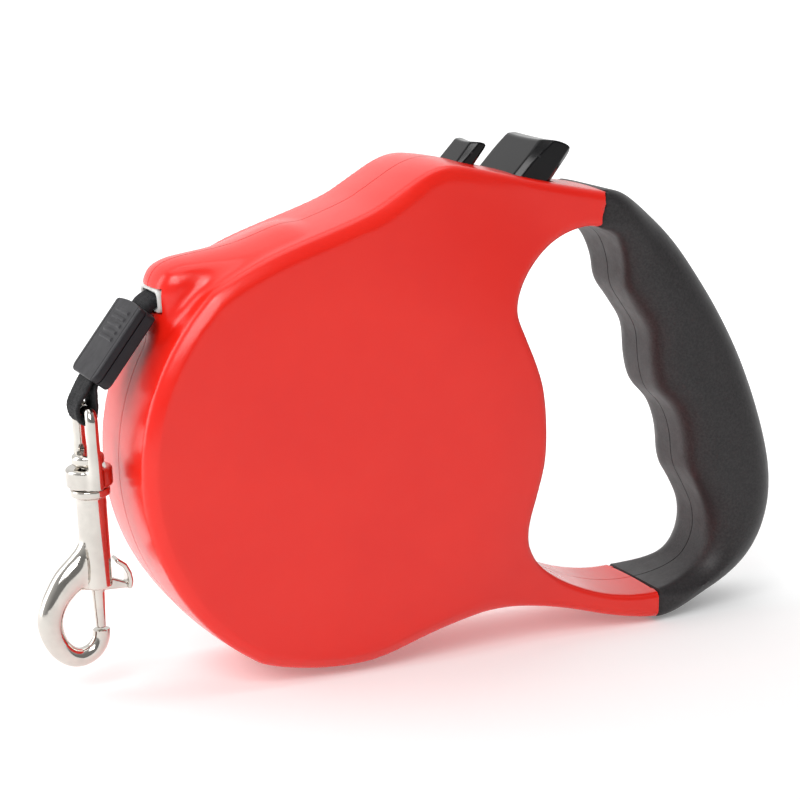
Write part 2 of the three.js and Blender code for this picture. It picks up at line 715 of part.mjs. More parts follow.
// Pieces of the snap are drawn hanging straight down on the eye, then turned about the eye bar.
function snapFrame(geometry) {
  geometry.translate(-EYE[0], 0, -EYE[1]);
  geometry.rotateY(SNAP_TILT);
  geometry.translate(EYE[0], 0, EYE[1]);
  return geometry;
}

// The strap eye: a bail with a round foot that the hook swivels in.
function snapEye() {
  const top = EYE[1];
  const w = EYE_HALF_WIDTH;
  const path = new THREE.CatmullRomCurve3([
    [-w, DRUM_BOTTOM + 0.5], [-w, 3], [-w, 9], [-w + 0.5, top - 1.2], [-w + 2, top], [w - 2, top],
    [w - 0.5, top - 1.2], [w, 9], [w, 3], [w, DRUM_BOTTOM + 0.5],
  ].map(([y, z]) => new THREE.Vector3(EYE[0], y, z)), false, "centripetal");
  const bail = solid(snapFrame(wire(path, EYE_WIRE_R, 30, 8)));
  const drum = solid(snapFrame(turnedUpright([
    [0, DRUM_BOTTOM], [DRUM_R - 0.6, DRUM_BOTTOM], [DRUM_R, DRUM_BOTTOM + 0.6], [DRUM_R, DRUM_TOP - 0.6],
    [DRUM_R - 0.6, DRUM_TOP], [0, DRUM_TOP],
  ], EYE[0])));
  const studHole = solid(snapFrame(turnedUpright([
    [0, -10], [STUD_R + GAP, -10], [STUD_R + GAP, 5], [0, 5],
  ], EYE[0])));
  const headRoom = solid(snapFrame(turnedUpright([
    [0, DRUM_TOP], [HEAD_R + GAP, DRUM_TOP], [HEAD_R + GAP, HEAD_TOP + 1], [0, HEAD_TOP + 1],
  ], EYE[0])));
  return cut(bail.add(drum), studHole, headRoom);
}

// One casting: riveted stud, flange, barrel and hook.
function snapHook() {
  const flangeTop = DRUM_BOTTOM - 0.5;
  const headFoot = DRUM_TOP + 0.4;
  const trunk = solid(snapFrame(turnedUpright([
    [0, BARREL_BOTTOM], [BARREL_R, BARREL_BOTTOM], [BARREL_R, BARREL_TOP], [FLANGE_FOOT_R, BARREL_TOP + 1],
    [FLANGE_FOOT_R, flangeTop], [STUD_R, flangeTop], [STUD_R, headFoot], [HEAD_R, headFoot],
    [HEAD_R, HEAD_TOP - 0.8], [HEAD_R - 0.8, HEAD_TOP], [0, HEAD_TOP],
  ], EYE[0])));
  const path = new THREE.CatmullRomCurve3([
    [-1.5, -17.5], [-5.5, -22.5], [-9.8, -28], [-12.4, -34], [-12.3, -40.3], [-9.2, -46], [-4.4, -48.1],
    [-0.8, -46.2], [0.4, -42.8],
  ].map(([dx, z]) => new THREE.Vector3(EYE[0] + dx, 0, z)), false, "centripetal");
  const hook = solid(snapFrame(wire(path, HOOK_WIRE_R, 26, 10)));
  const bore = solid(snapFrame(turnedUpright([
    [0, BARREL_BOTTOM - 1], [BOLT_BORE_R, BARREL_BOTTOM - 1], [BOLT_BORE_R, BORE_END], [0, BORE_END],
  ], EYE[0])));
  const slot = solid(snapFrame(box([EYE[0], -1.5, -30], [EYE[0] + 6, 1.5, -17])));
  return cut(trunk.add(hook), bore, slot);
}

function snapBolt() {
  const pin = solid(snapFrame(turnedUpright([
    [0, -42.3], [1.2, -42.3], [1.6, -33], [2, -31], [2, BOLT_TOP], [0, BOLT_TOP],
  ], EYE[0])));
  const neck = solid(snapFrame(box([EYE[0], -1.2, -29.3], [EYE[0] + 5, 1.2, -27])));
  const lever = solid(snapFrame(slab(roundedPolygon([
    [4.3, -32], [6.8, -32.3], [9.2, -30.6], [9, -28.4], [6.8, -28.3], [6, -25], [4.3, -24.8],
  ].map(([dx, z]) => [EYE[0] + dx, z]), [0.4, 0.8, 0.8, 0.8, 0.9, 0.7, 0.5], 3), -2.4, 2.4)));
  return joined(pin, neck, lever);
}

function boltSpring() {
  const foot = new THREE.Vector3(EYE[0], 0, BOLT_TOP + 0.5);
  const head = new THREE.Vector3(EYE[0], 0, BORE_END - 0.5);
  return snapFrame(coil(foot, head, 1.6, 5, 0.3));
}

// ---------------------------------------------------------------- the finished leash

const leash = new THREE.Group();
leash.position.set(-GRIP_CENTRE[0], 0, -GRIP_CENTRE[1]);

function add(name, shape, look) {
  const geometry = shape.isBufferGeometry ? plain(shape) : geometryOf(shape);
  const mesh = new THREE.Mesh(geometry, new THREE.MeshStandardMaterial(look));
  mesh.name = name;
  leash.add(mesh);
}

const body = bodySolid();
const grip = gripSolid();
add("housing_left", half(body, -1), RED);
add("housing_right", half(body, 1), RED);
add("grip_left", half(grip, -1), CHARCOAL);
add("grip_right", half(grip, 1), CHARCOAL);
SCREWS.forEach((place, i) => add(`housing_screw_${i + 1}`, housingScrew(place), STEEL));

add("nozzle_guide", nozzleGuide(), SILVER);
add("tape_guide_pin", rod(GUIDE_PIN_R, -GUIDE_PIN_END, GUIDE_PIN_END, GUIDE_PIN), STEEL);
add("tape_run", tapeRun(), WEBBING);

add("reel_axle", rod(AXLE_R, -CHAMBER_HALF_WIDTH - 0.9, CHAMBER_HALF_WIDTH + 0.9, REEL), STEEL);
add("reel_drum", reelDrum(), NYLON);
add("reel_flange", reelFlange(), NYLON);
add("tape_winding", tapeWinding(), WEBBING);
add("tape_anchor_pin", rod(ANCHOR_R, -4.7, FLANGE_INNER_Y - GAP, ANCHOR, 12), STEEL);
FLANGE_SCREWS.forEach((place, i) => add(`flange_screw_${i + 1}`, flangeScrew(place), STEEL));
add("spring_cup", springCup(), NYLON);
add("spring_cover", springCover(), NYLON);
add("power_spring", powerSpring(), STEEL);

add("brake_button", brakeButton(), BLACK);
add("brake_plunger", brakePlunger(), NYLON);
add("brake_spring", buttonSpring(BRAKE_SPRING), STEEL);
add("lock_button", lockButton(), BLACK);
add("lock_catch", lockCatch(), NYLON);
add("lock_spring", buttonSpring(LOCK_SPRING), STEEL);

add("stopper_body", stopperBody(), CHARCOAL);
add("stopper_cover", stopperCover(), CHARCOAL);
add("webbing_loop", webbingLoop(), WEBBING);

add("snap_eye", snapEye(), NICKEL);
add("snap_hook", snapHook(), NICKEL);
add("snap_bolt", snapBolt(), NICKEL);
add("bolt_spring", boltSpring(), STEEL);

export default leash;
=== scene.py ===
import json
import math

import bmesh
import bpy
import numpy as np
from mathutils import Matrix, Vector


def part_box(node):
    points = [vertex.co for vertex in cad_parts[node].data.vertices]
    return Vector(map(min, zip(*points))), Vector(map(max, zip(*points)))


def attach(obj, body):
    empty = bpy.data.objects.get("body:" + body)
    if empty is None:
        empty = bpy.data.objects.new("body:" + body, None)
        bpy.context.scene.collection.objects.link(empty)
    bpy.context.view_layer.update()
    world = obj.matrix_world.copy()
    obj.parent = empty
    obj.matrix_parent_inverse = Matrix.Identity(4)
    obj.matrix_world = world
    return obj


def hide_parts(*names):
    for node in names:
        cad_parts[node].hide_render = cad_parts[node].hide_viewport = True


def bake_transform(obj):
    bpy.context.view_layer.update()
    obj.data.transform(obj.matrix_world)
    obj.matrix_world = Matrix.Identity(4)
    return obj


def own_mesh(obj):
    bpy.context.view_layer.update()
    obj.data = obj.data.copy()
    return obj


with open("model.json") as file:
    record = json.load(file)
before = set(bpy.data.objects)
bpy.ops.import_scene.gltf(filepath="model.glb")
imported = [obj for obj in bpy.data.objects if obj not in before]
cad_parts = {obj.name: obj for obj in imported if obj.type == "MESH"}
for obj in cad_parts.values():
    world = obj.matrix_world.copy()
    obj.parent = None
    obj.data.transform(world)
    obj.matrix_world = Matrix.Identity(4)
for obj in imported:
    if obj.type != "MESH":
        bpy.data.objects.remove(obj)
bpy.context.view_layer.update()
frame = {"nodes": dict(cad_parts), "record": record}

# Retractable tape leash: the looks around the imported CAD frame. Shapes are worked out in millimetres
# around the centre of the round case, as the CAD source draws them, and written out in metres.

# ---------------------------------------------------------------- places from the frame

MM = 0.001
AXLE_OFFSET = 2.0  # the reel axle lies this far ahead of the case centre
axle_low, axle_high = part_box("reel_axle")
CASE_CENTRE = np.array([(axle_low.x + axle_high.x) / 2 / MM + AXLE_OFFSET, 0.0, 0.0])


def to_row(points):
    """Case-centred millimetres to metres in the row frame."""
    return (np.asarray(points, float) + CASE_CENTRE) * MM


# ---------------------------------------------------------------- driving dimensions, mm

CASE_R = 61.0
RIM = (1.0, 3.9)  # depth of the chamfer's outer and inner edge
RIM_EASE = 0.1
RIM_EDGE = (1.1, 1.9)  # edge radius on the round case and out on the arms
BAND_CROWN = 0.8  # how much the narrow outside face bulges
PLATEAU_HALF = 18.9  # half width over the round side plateau
BAND_HALF = 16.9  # half width of the case around the plateau
ARM_HALF = 15.0
ARM_FADE_R = (34, 78)  # the plateau fades out over these distances from the centre
ARM_FADE_X = (-12, 50)  # and over these places along x
ARM_TAPER_X = (10, 60)  # where the case narrows to the arms' width
HAND_CROWN = 0.5
HAND_EDGE = 1.3
GRIP_HALF = 14.2
GRIP_EASE = (-1, 20)  # the grip's section turns round this far from its joints
GRIP_HEEL_Z = (-42, -12)  # and over these heights behind the lower joint
GRIP_EDGE_OUT = (2.2, 9.2)  # edge radius at the joints and in the round section
GRIP_EDGE_IN = (1.5, 8.2)
CORE_REACH = 3.0  # how far the core runs on inside the shells
GRIP_SKIN = 2.0
SEAM = 0.3  # gap between the two shells, and around the rubber
BOTTOM_JOINT_X = 89.0  # plane where the lower bar meets the rubber
TOP_JOINT = [(69.5, 62.0), (67.2, 48.0)]  # line where the upper arm meets the rubber

BODY_CREST = [
    (-28.5, 51.8), (-19.6, 55.2), (-11.4, 57.9), (-4, 60.4), (2.4, 63), (8.5, 66.6), (16.5, 71.1), (23, 72.5),
    (36, 70.0), (49, 66.9), (67, 63.3),
]
BODY_GRIP = [
    (75.5, 61.7), (82.5, 57.9), (89, 52.8), (95.5, 46.2), (102, 37.8), (109, 27.6), (116, 15.4),
    (121.8, 2.4), (126.6, -12), (128.4, -22), (128, -31), (125, -40), (119.5, -47.2), (110, -53.4),
    (99, -57),
]
BODY_BAR = [(89, -57.9), (75, -55.7), (58, -51), (38, -48.2), (20, -51.5), (2, -56.8), (-14, -56.8)]
CASE_ARC = (246, 128)  # degrees, the round front of the case
ARC_PLACES = 27
OPENING = [
    (66, 53), (60, 52.3), (53.5, 49.3), (47.7, 44), (44, 38), (43, 32.5), (45.3, 26.5), (48.6, 19),
    (50.9, 12), (52, 2), (51.8, -8), (49.6, -17), (47.4, -25), (47.5, -30.5), (50.5, -36),
    (56.5, -41), (64, -45), (73.6, -48.3), (84.9, -49.8), (96.4, -48.6), (104.4, -45.2), (108, -39),
    (108, -32), (105, -25), (101, -17.5), (99.6, -8), (96.6, -0.6), (91, 5.6), (88.9, 13),
    (87.8, 22), (83.5, 28.8), (79.4, 35), (78.3, 42), (74.8, 49.6),
]
SNOUT = [
    (-51.4, 30), (-52.2, 38), (-52.4, 44.4), (-50.4, 48.4), (-46.2, 50.5), (-40, 51.6), (-27, 53.6),
    (-14, 57), (-10, 48), (-30, 31),
]
SNOUT_HALF = (8.8, 14.0)  # at the mouth and where the snout joins the case
SNOUT_X = (-54, -24)  # places along x of those two half widths
SNOUT_CROWN = 0.02  # the snout's top falls away by this times y squared
SNOUT_BLEND = 3.6

REEL = (-AXLE_OFFSET, 0.0)
CHAMBER_R = 51.5
CHAMBER_HALF = 16.0
SCREWS = [(-54.5, -17.5), (-24, -51), (51.5, -43.8), (5, 58.6), (61.5, 58.6)]
SCREW_RECESS_R = 2.5
SCREW_RECESS_Y = (10.9, 22.0)  # from under the head to outside the case
BRAKE_WELL = [(-2, 12), (-2, -11.6), (8.9, -6.1), (8.9, 22)]
BRAKE_WELL_HALF = 11.6
LOCK_WELL = [(-14.8, 4), (-14.8, -15.1), (-9.2, -12.2), (-9.2, 8)]
LOCK_WELL_HALF = 6.3
INSERT_SEAT = ((-4, -6.9, -3.2), (14, 6.9, 3.2))  # low and high corner, in the tape's frame

MOUTH = (-52.0, 41.0)
TAPE_TILT = math.radians(4.292)  # the tape climbs this much towards the reel
PRESS = np.array([-0.660616, -0.750724])  # travel of both buttons, in x and z
ACROSS = np.array([0.750724, -0.660616])
BRAKE_BASE = np.array([46.5, 68.0])

STOPPER_TOP = (-55.2, 38.9)
HANG = math.radians(53)  # slope of the stopper below level
STOPPER_LENGTH = 21.3
STOPPER_WIDTH = 18.0
STOPPER_THICKNESS = 5.0
EYE = (-69.6, 14.8)
SNAP_TILT = math.radians(-2.7)

# ---------------------------------------------------------------- curves and distances

FAR = 1e9  # further than anything here
BATCH = 400000  # points whose distance is worked out at once


def smooth_loop(points, per_span=10, rounds=6):
    """A closed centripetal Catmull-Rom curve through the points, evened out a little."""
    p = np.array(points, float)
    n = len(p)
    out = []
    for i in range(n):
        a, b, c, d = (p[(i + k) % n] for k in (-1, 0, 1, 2))
        t = np.cumsum([0] + [np.linalg.norm(v - u) ** 0.5 for u, v in ((a, b), (b, c), (c, d))])
        for s in np.linspace(t[1], t[2], per_span, endpoint=False):
            q = [
                (a * (t[1] - s) + b * (s - t[0])) / (t[1] - t[0]),
                (b * (t[2] - s) + c * (s - t[1])) / (t[2] - t[1]),
                (c * (t[3] - s) + d * (s - t[2])) / (t[3] - t[2]),
            ]
            r = [
                (q[0] * (t[2] - s) + q[1] * (s - t[0])) / (t[2] - t[0]),
                (q[1] * (t[3] - s) + q[2] * (s - t[1])) / (t[3] - t[1]),
            ]
            out.append((r[0] * (t[2] - s) + r[1] * (s - t[1])) / (t[2] - t[1]))
    curve = np.array(out)
    for _ in range(rounds):
        curve = curve / 2 + (np.roll(curve, 1, 0) + np.roll(curve, -1, 0)) / 4
    return curve


def loop_distance(loop, p):
    """Distance from points to a closed polyline, negative inside."""
    best = np.full(len(p), FAR)
    inside = np.zeros(len(p), bool)
    for a, b in zip(loop, np.roll(loop, -1, 0)):
        ab = b - a
        ap = p - a
        t = np.clip((ap @ ab) / (ab @ ab), 0, 1)
        best = np.minimum(best, np.sum((ap - t[:, None] * ab) ** 2, 1))
        crosses = (a[1] > p[:, 1]) != (b[1] > p[:, 1])
        if ab[1] != 0:
            inside ^= crosses & (p[:, 0] < a[0] + ab[0] * (p[:, 1] - a[1]) / ab[1])
    return np.where(inside, -1, 1) * np.sqrt(best)


class Outline:
    """The signed distance to a closed outline in x and z, kept on a fine grid."""

    STEP = 0.5
    MARGIN = 12.0

    def __init__(self, loop):
        self.low = loop.min(0) - self.MARGIN
        self.counts = np.ceil((loop.max(0) + self.MARGIN - self.low) / self.STEP).astype(int) + 1
        gx, gz = np.meshgrid(*(np.arange(n) * self.STEP for n in self.counts), indexing="ij")
        grid = np.stack([gx.ravel(), gz.ravel()], 1) + self.low
        self.value = loop_distance(loop, grid).reshape(self.counts)

    def __call__(self, x, z):
        u = np.clip((x - self.low[0]) / self.STEP, 0, self.counts[0] - 1.001)
        v = np.clip((z - self.low[1]) / self.STEP, 0, self.counts[1] - 1.001)
        i, j = u.astype(int), v.astype(int)
        fu, fv = u - i, v - j
        d = self.value
        near = d[i, j] * (1 - fv) + d[i, j + 1] * fv
        far = d[i + 1, j] * (1 - fv) + d[i + 1, j + 1] * fv
        return near * (1 - fu) + far * fu


def step(low, high, value):
    t = np.clip((value - low) / (high - low), 0, 1)
    return t * t * (3 - 2 * t)


def mix(a, b, t):
    return a + (b - a) * t


def blend_union(a, b, reach):
    """Union of two distances with a fillet."""
    h = np.maximum(reach - np.abs(a - b), 0) / reach
    return np.minimum(a, b) - h * h * reach / 4


def blend_cut(a, tool, reach):
    """Distance a with the tool taken away, the edge eased."""
    h = np.maximum(reach - np.abs(a + tool), 0) / reach
    return np.maximum(a, -tool) + h * h * reach / 4


def rounded(a, b, edge):
    """Intersection of two distances with a rounded edge."""
    a, b = a + edge, b + edge
    return np.minimum(np.maximum(a, b), 0) + np.hypot(np.maximum(a, 0), np.maximum(b, 0)) - edge


def box_distance(p, half, edge=0.0):
    q = np.abs(p) - np.array(half) + edge
    return np.minimum(q.max(1), 0) + np.linalg.norm(np.maximum(q, 0), axis=1) - edge


def layer(z, low, high):
    """Distance to the layer between two heights."""
    return np.abs(z - (low + high) / 2) - (high - low) / 2


def round_bar(p, radius, low, high, edge):
    """A bar about the z axis between two heights, its end edges rounded."""
    x, y, z = p.T
    return rounded(np.hypot(x, y) - radius, layer(z, low, high), edge)


def bone(p, a, b, ra, rb):
    """A bar between two points whose radius runs evenly from ra to rb."""
    a, b = np.array(a, float), np.array(b, float)
    ab = b - a
    t = np.clip(((p - a) @ ab) / (ab @ ab), 0, 1)
    return np.linalg.norm(p - a - t[:, None] * ab, axis=1) - mix(ra, rb, t)


# ---------------------------------------------------------------- surface nets


def surface_net(distance, low, high, pitch):
    """Points and quads of the surface where a distance is zero, moved onto that surface."""
    low = np.array(low, float)
    counts = np.ceil((np.array(high) - low) / pitch).astype(int) + 1
    axes = [low[k] + pitch * np.arange(counts[k]) for k in range(3)]
    grid = np.stack([g.ravel() for g in np.meshgrid(*axes, indexing="ij")], 1)
    batches = np.array_split(grid, 1 + len(grid) // BATCH)
    value = np.concatenate([distance(batch) for batch in batches])
    value = value.reshape(counts)
    cells = counts - 1
    strides = np.array([cells[1] * cells[2], cells[2], 1])
    total = np.zeros((cells.prod(), 3))
    number = np.zeros(cells.prod())
    quads = []
    for axis in range(3):
        u, v = (axis + 1) % 3, (axis + 2) % 3
        near = np.take(value, range(counts[axis] - 1), axis)
        far = np.take(value, range(1, counts[axis]), axis)
        place = np.argwhere((near < 0) != (far < 0))
        a, b = near[tuple(place.T)], far[tuple(place.T)]
        crossing = place.astype(float)
        crossing[:, axis] += a / (a - b)
        around = []
        for du, dv in ((0, 0), (-1, 0), (-1, -1), (0, -1)):
            cell = place.copy()
            cell[:, u] += du
            cell[:, v] += dv
            index = cell @ strides
            around.append(index)
            for k in range(3):
                total[:, k] += np.bincount(index, crossing[:, k], len(total))
            number += np.bincount(index, minlength=len(number))
        ring = np.stack(around, 1)
        quads.append(np.where((a < 0)[:, None], ring, ring[:, ::-1]))
    used = np.flatnonzero(number)
    renumber = np.zeros(len(number), int)
    renumber[used] = np.arange(len(used))
    points = low + pitch * total[used] / number[used, None]
    for _ in range(5):
        points = onto(distance, points, pitch / 2)
    return points, renumber[np.concatenate(quads)]


def slope(distance, points, reach=0.08):
    """Gradient of a distance, measured over a short reach either way."""
    grads = []
    for k in range(3):
        shift = np.zeros(3)
        shift[k] = reach
        grads.append((distance(points + shift) - distance(points - shift)) / (2 * reach))
    return np.stack(grads, 1)


def onto(distance, points, limit):
    """Points moved towards the surface, no further than the limit."""
    g = slope(distance, points)
    move = distance(points)[:, None] * g / np.maximum(np.sum(g * g, 1), 0.2)[:, None]
    length = np.linalg.norm(move, axis=1, keepdims=True)
    return points - move * np.minimum(1, limit / np.maximum(length, 1e-9))


# ---------------------------------------------------------------- Blender objects


def new_mesh(name, points, faces):
    """A mesh from case-centred millimetres."""
    mesh = bpy.data.meshes.new(name)
    mesh.from_pydata(to_row(points).tolist(), [], [list(map(int, f)) for f in faces])
    return mesh


def add_object(name, data):
    obj = bpy.data.objects.new(name, data)
    bpy.context.scene.collection.objects.link(obj)
    return obj


def finish_piece(obj, look, body, nodes, smooth_angle):
    """Material and shading, and what the frame has to know about a piece."""
    mesh = obj.data
    mesh.materials.append(look)
    mesh.polygons.foreach_set("use_smooth", np.ones(len(mesh.polygons), bool))
    mesh.set_sharp_from_angle(angle=math.radians(smooth_angle))
    if nodes:
        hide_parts(*nodes)
    if body:
        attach(obj, body)


def make(name, points, faces, look, body, nodes=(), smooth_angle=40):
    obj = add_object(name, new_mesh(name, points, faces))
    finish_piece(obj, look, body, nodes, smooth_angle)
    return obj


def carve(obj, *tools):
    """Takes closed tool meshes, given as points and faces in mm, away from an object."""
    for points, faces in tools:
        tool = add_object("tool", new_mesh("tool", points, faces))
        cutter = obj.modifiers.new("carve", "BOOLEAN")
        cutter.operation = "DIFFERENCE"
        cutter.solver = "EXACT"
        cutter.object = tool
        bake_modifiers(obj)
        bpy.data.objects.remove(tool)


def bake_modifiers(obj):
    """Replaces an object's mesh by what its modifiers make of it."""
    bpy.context.view_layer.update()
    depsgraph = bpy.context.evaluated_depsgraph_get()
    result = bpy.data.meshes.new_from_object(obj.evaluated_get(depsgraph))
    obj.modifiers.clear()
    obj.data = result


def prism_mesh(loop, y_low, y_high):
    """A closed straight-sided solid on a loop in x and z."""
    n = len(loop)
    points = [(x, y, z) for y in (y_low, y_high) for x, z in loop]
    area = sum(a[0] * b[1] - b[0] * a[1] for a, b in zip(loop, list(loop[1:]) + [loop[0]]))
    faces = [list(range(n)), list(range(2 * n - 1, n - 1, -1))]
    for i in range(n):
        j = (i + 1) % n
        faces.append([i, i + n, j + n, j])
    if area < 0:
        faces = [f[::-1] for f in faces]
    return points, faces


def round_loop(radius, centre, sides):
    angles = 2 * math.pi * np.arange(sides) / sides
    return [(centre[0] + radius * math.cos(a), centre[1] + radius * math.sin(a)) for a in angles]


def lean(across, up):
    """The place in x and z of a point in the buttons' leaning frame."""
    return BRAKE_BASE + across * ACROSS - up * PRESS


def halves(obj, look, names, nodes, smooth_angle=35):
    """Splits a closed body at the parting plane into two closed shells."""
    for name, node, side in zip(names, nodes, (-1, 1)):
        bm = bmesh.new()
        bm.from_mesh(obj.data)
        cut = bmesh.ops.bisect_plane(
            bm, geom=bm.verts[:] + bm.edges[:] + bm.faces[:], dist=1e-7,
            plane_co=(0, side * SEAM / 2 * MM, 0), plane_no=(0, -side, 0), clear_outer=True)
        edges = [e for e in cut["geom_cut"] if isinstance(e, bmesh.types.BMEdge)]
        bmesh.ops.triangle_fill(bm, use_beauty=True, edges=edges, normal=(0, -side, 0))
        bmesh.ops.recalc_face_normals(bm, faces=bm.faces[:])
        mesh = bpy.data.meshes.new(name)
        bm.to_mesh(mesh)
        bm.free()
        finish_piece(add_object(name, mesh), look, "housing", (node,), smooth_angle)
    bpy.data.objects.remove(obj)


# ---------------------------------------------------------------- materials


def map_range(tree, source, low, high, from_low, from_high):
    """Runs from low to high while the source runs from from_low to from_high, and stays there outside."""
    made = tree.nodes.new("ShaderNodeMapRange")
    made.inputs["From Min"].default_value = from_low
    made.inputs["From Max"].default_value = from_high
    made.inputs["To Min"].default_value = low
    made.inputs["To Max"].default_value = high
    tree.links.new(source, made.inputs["Value"])
    return made.outputs["Result"]


def level_along_y(tree, coordinates, low, high, start, end):
    """A level that runs from low to high between two places along y."""
    place = tree.nodes.new("ShaderNodeTexCoord")
    split = tree.nodes.new("ShaderNodeSeparateXYZ")
    tree.links.new(place.outputs[coordinates], split.inputs["Vector"])
    return map_range(tree, split.outputs["Y"], low, high, start, end)


class Nodes:
    """A small helper for writing node materials."""

    def __init__(self, name):
        self.material = bpy.data.materials.new(name)
        self.material.use_nodes = True
        self.tree = self.material.node_tree
        self.shader = self.tree.nodes["Principled BSDF"]
        self.place = self.tree.nodes.new("ShaderNodeTexCoord").outputs["Object"]

    def node(self, kind, **values):
        made = self.tree.nodes.new(kind)
        for key, value in values.items():
            setattr(made, key, value)
        return made

    def link(self, source, target):
        self.tree.links.new(source, target)

    def noise(self, scale, detail=3.0, roughness=0.55, stretch=None):
        made = self.node("ShaderNodeTexNoise")
        made.inputs["Scale"].default_value = scale
        made.inputs["Detail"].default_value = detail
        made.inputs["Roughness"].default_value = roughness
        source = self.place
        if stretch:
            mapping = self.node("ShaderNodeMapping")
            mapping.inputs["Scale"].default_value = stretch
            self.link(self.place, mapping.inputs["Vector"])
            source = mapping.outputs["Vector"]
        self.link(source, made.inputs["Vector"])
        return made.outputs["Fac"]

    def spread(self, source, low, high, from_low=0.3, from_high=0.7):
        return map_range(self.tree, source, low, high, from_low, from_high)

    def colours(self, factor, first, second):
        made = self.node("ShaderNodeMix", data_type="RGBA")
        self.link(factor, made.inputs["Factor"])
        for socket, value in ((made.inputs["A"], first), (made.inputs["B"], second)):
            if isinstance(value, tuple):
                socket.default_value = (*value, 1)
            else:
                self.link(value, socket)
        return made.outputs["Result"]

    def edges(self, start=0.56, end=0.68):
        """Close to 1 on worn convex edges."""
        geometry = self.node("ShaderNodeNewGeometry")
        return self.spread(geometry.outputs["Pointiness"], 0, 1, start, end)

    def bump(self, *layers):
        normal = None
        for height, strength, distance in layers:
            made = self.node("ShaderNodeBump")
            made.inputs["Strength"].default_value = strength
            made.inputs["Distance"].default_value = distance
            self.link(height, made.inputs["Height"])
            if normal:
                self.link(normal, made.inputs["Normal"])
            normal = made.outputs["Normal"]
        self.link(normal, self.shader.inputs["Normal"])

    def colour(self, output):
        self.link(output, self.shader.inputs["Base Color"])

    def rough(self, output):
        self.link(output, self.shader.inputs["Roughness"])

    def set(self, **values):
        for key, value in values.items():
            self.shader.inputs[key.replace("_", " ")].default_value = value


def moulded(name, main, deep, worn, rough, grain=(2500, 0.08), gloss=0.5):
    """Injection-moulded plastic: a fine eroded grain, faint flow patches and rubbed edges."""
    n = Nodes(name)
    body = n.colours(n.spread(n.noise(35), 0, 1), main, deep)
    n.colour(n.colours(n.edges(), body, worn))
    n.rough(n.spread(n.noise(315, 4), *rough))
    grain_scale, grain_strength = grain
    n.bump((n.noise(grain_scale, 2), grain_strength, 0.00004), (n.noise(60, 1), 0.05, 0.0002))
    n.set(Specular_IOR_Level=gloss)
    return n.material


def plated(name, main, dull, rough):
    """Polished plating: tiny waves under the plating, faint wipe marks and duller patches."""
    n = Nodes(name)
    n.colour(n.colours(n.spread(n.noise(160), 0, 1), main, dull))
    n.rough(n.spread(n.noise(420, 4), *rough))
    n.bump((n.noise(240, 2), 0.12, 0.00012), (n.noise(2600, 2), 0.03, 0.00003))
    n.set(Metallic=1.0)
    return n.material


def rubbery(name, main, deep, worn, rough):
    """Soft-touch rubber: a dense paler speckle and a slight bloom."""
    n = Nodes(name)
    speckle = n.spread(n.noise(1500, 3, 0.7), 0, 1, 0.35, 0.65)
    cloud = n.spread(n.noise(45), 0, 1)
    body = n.colours(speckle, n.colours(cloud, main, deep), worn)
    n.colour(body)
    n.rough(n.spread(n.noise(300, 4), *rough))
    n.bump((n.noise(1800, 3, 0.7), 0.22, 0.00006))
    n.set(Specular_IOR_Level=0.35)
    n.set(Sheen_Weight=0.05, Sheen_Roughness=0.45)
    return n.material


def woven(name, main, light):
    """Polyester webbing: a fine yarn grain and lint-grey highlights on the raised yarns."""
    n = Nodes(name)
    yarn = n.noise(2600, 2, 0.6, (1, 0.35, 1))
    n.colour(n.colours(n.edges(0.5, 0.58), n.colours(n.spread(yarn, 0, 1), main, light), light))
    n.rough(n.spread(n.noise(600), 0.55, 0.8))
    n.bump((yarn, 0.5, 0.00008))
    n.set(Specular_IOR_Level=0.25)
    n.set(Sheen_Weight=0.05, Sheen_Roughness=0.4)
    return n.material


# A range of roughness that reached 0.28 left light specks on the red face.
RED = moulded(
    "red_shell", (0.80, 0.016, 0.006), (0.765, 0.012, 0.005), (0.83, 0.026, 0.014), (0.21, 0.27))
BLACK = moulded(
    "button_black", (0.004, 0.004, 0.0045), (0.006, 0.006, 0.0065), (0.03, 0.03, 0.032), (0.14, 0.22),
    gloss=0.26)
CHARCOAL = moulded(
    "stopper_black", (0.022, 0.021, 0.024), (0.014, 0.013, 0.016), (0.07, 0.07, 0.074), (0.38, 0.5),
    (1800, 0.3), gloss=0.26)
RUBBER = rubbery(
    "grip_rubber", (0.017, 0.0155, 0.0165), (0.013, 0.0115, 0.0125), (0.030, 0.027, 0.028), (0.4, 0.5))
WEBBING = woven("webbing", (0.004, 0.004, 0.0045), (0.022, 0.022, 0.024))
NICKEL = plated("nickel", (0.68, 0.65, 0.60), (0.56, 0.53, 0.49), (0.06, 0.13))
STEEL = plated("steel", (0.55, 0.56, 0.58), (0.42, 0.43, 0.45), (0.25, 0.42))
NYLON = moulded("nylon", (0.72, 0.70, 0.63), (0.62, 0.60, 0.53), (0.78, 0.77, 0.72), (0.4, 0.55))
SILVER = moulded("outlet_insert", (0.72, 0.72, 0.70), (0.60, 0.60, 0.58), (0.86, 0.86, 0.85), (0.2, 0.32))

LOOKS = {
    "red_shell": RED, "button_black": BLACK, "stopper_black": CHARCOAL, "grip_rubber": RUBBER,
    "webbing": WEBBING, "nickel": NICKEL, "steel": STEEL, "nylon": NYLON, "outlet_insert": SILVER,
}


def dress_cad_nodes():
    """Every CAD node gets its slot's finish."""
    for part in frame["record"]["subparts"]:
        node = frame["nodes"][part["node"]]
        node.data.materials.clear()
        node.data.materials.append(LOOKS[part["material_slot"]])


# ---------------------------------------------------------------- housing and grip


def body_loop():
    start, end = (math.radians(a) for a in CASE_ARC)
    arc = [(CASE_R * math.cos(a), CASE_R * math.sin(a)) for a in np.linspace(start, end, ARC_PLACES)[1:-1]]
    return smooth_loop(BODY_CREST + BODY_GRIP + BODY_BAR + arc)


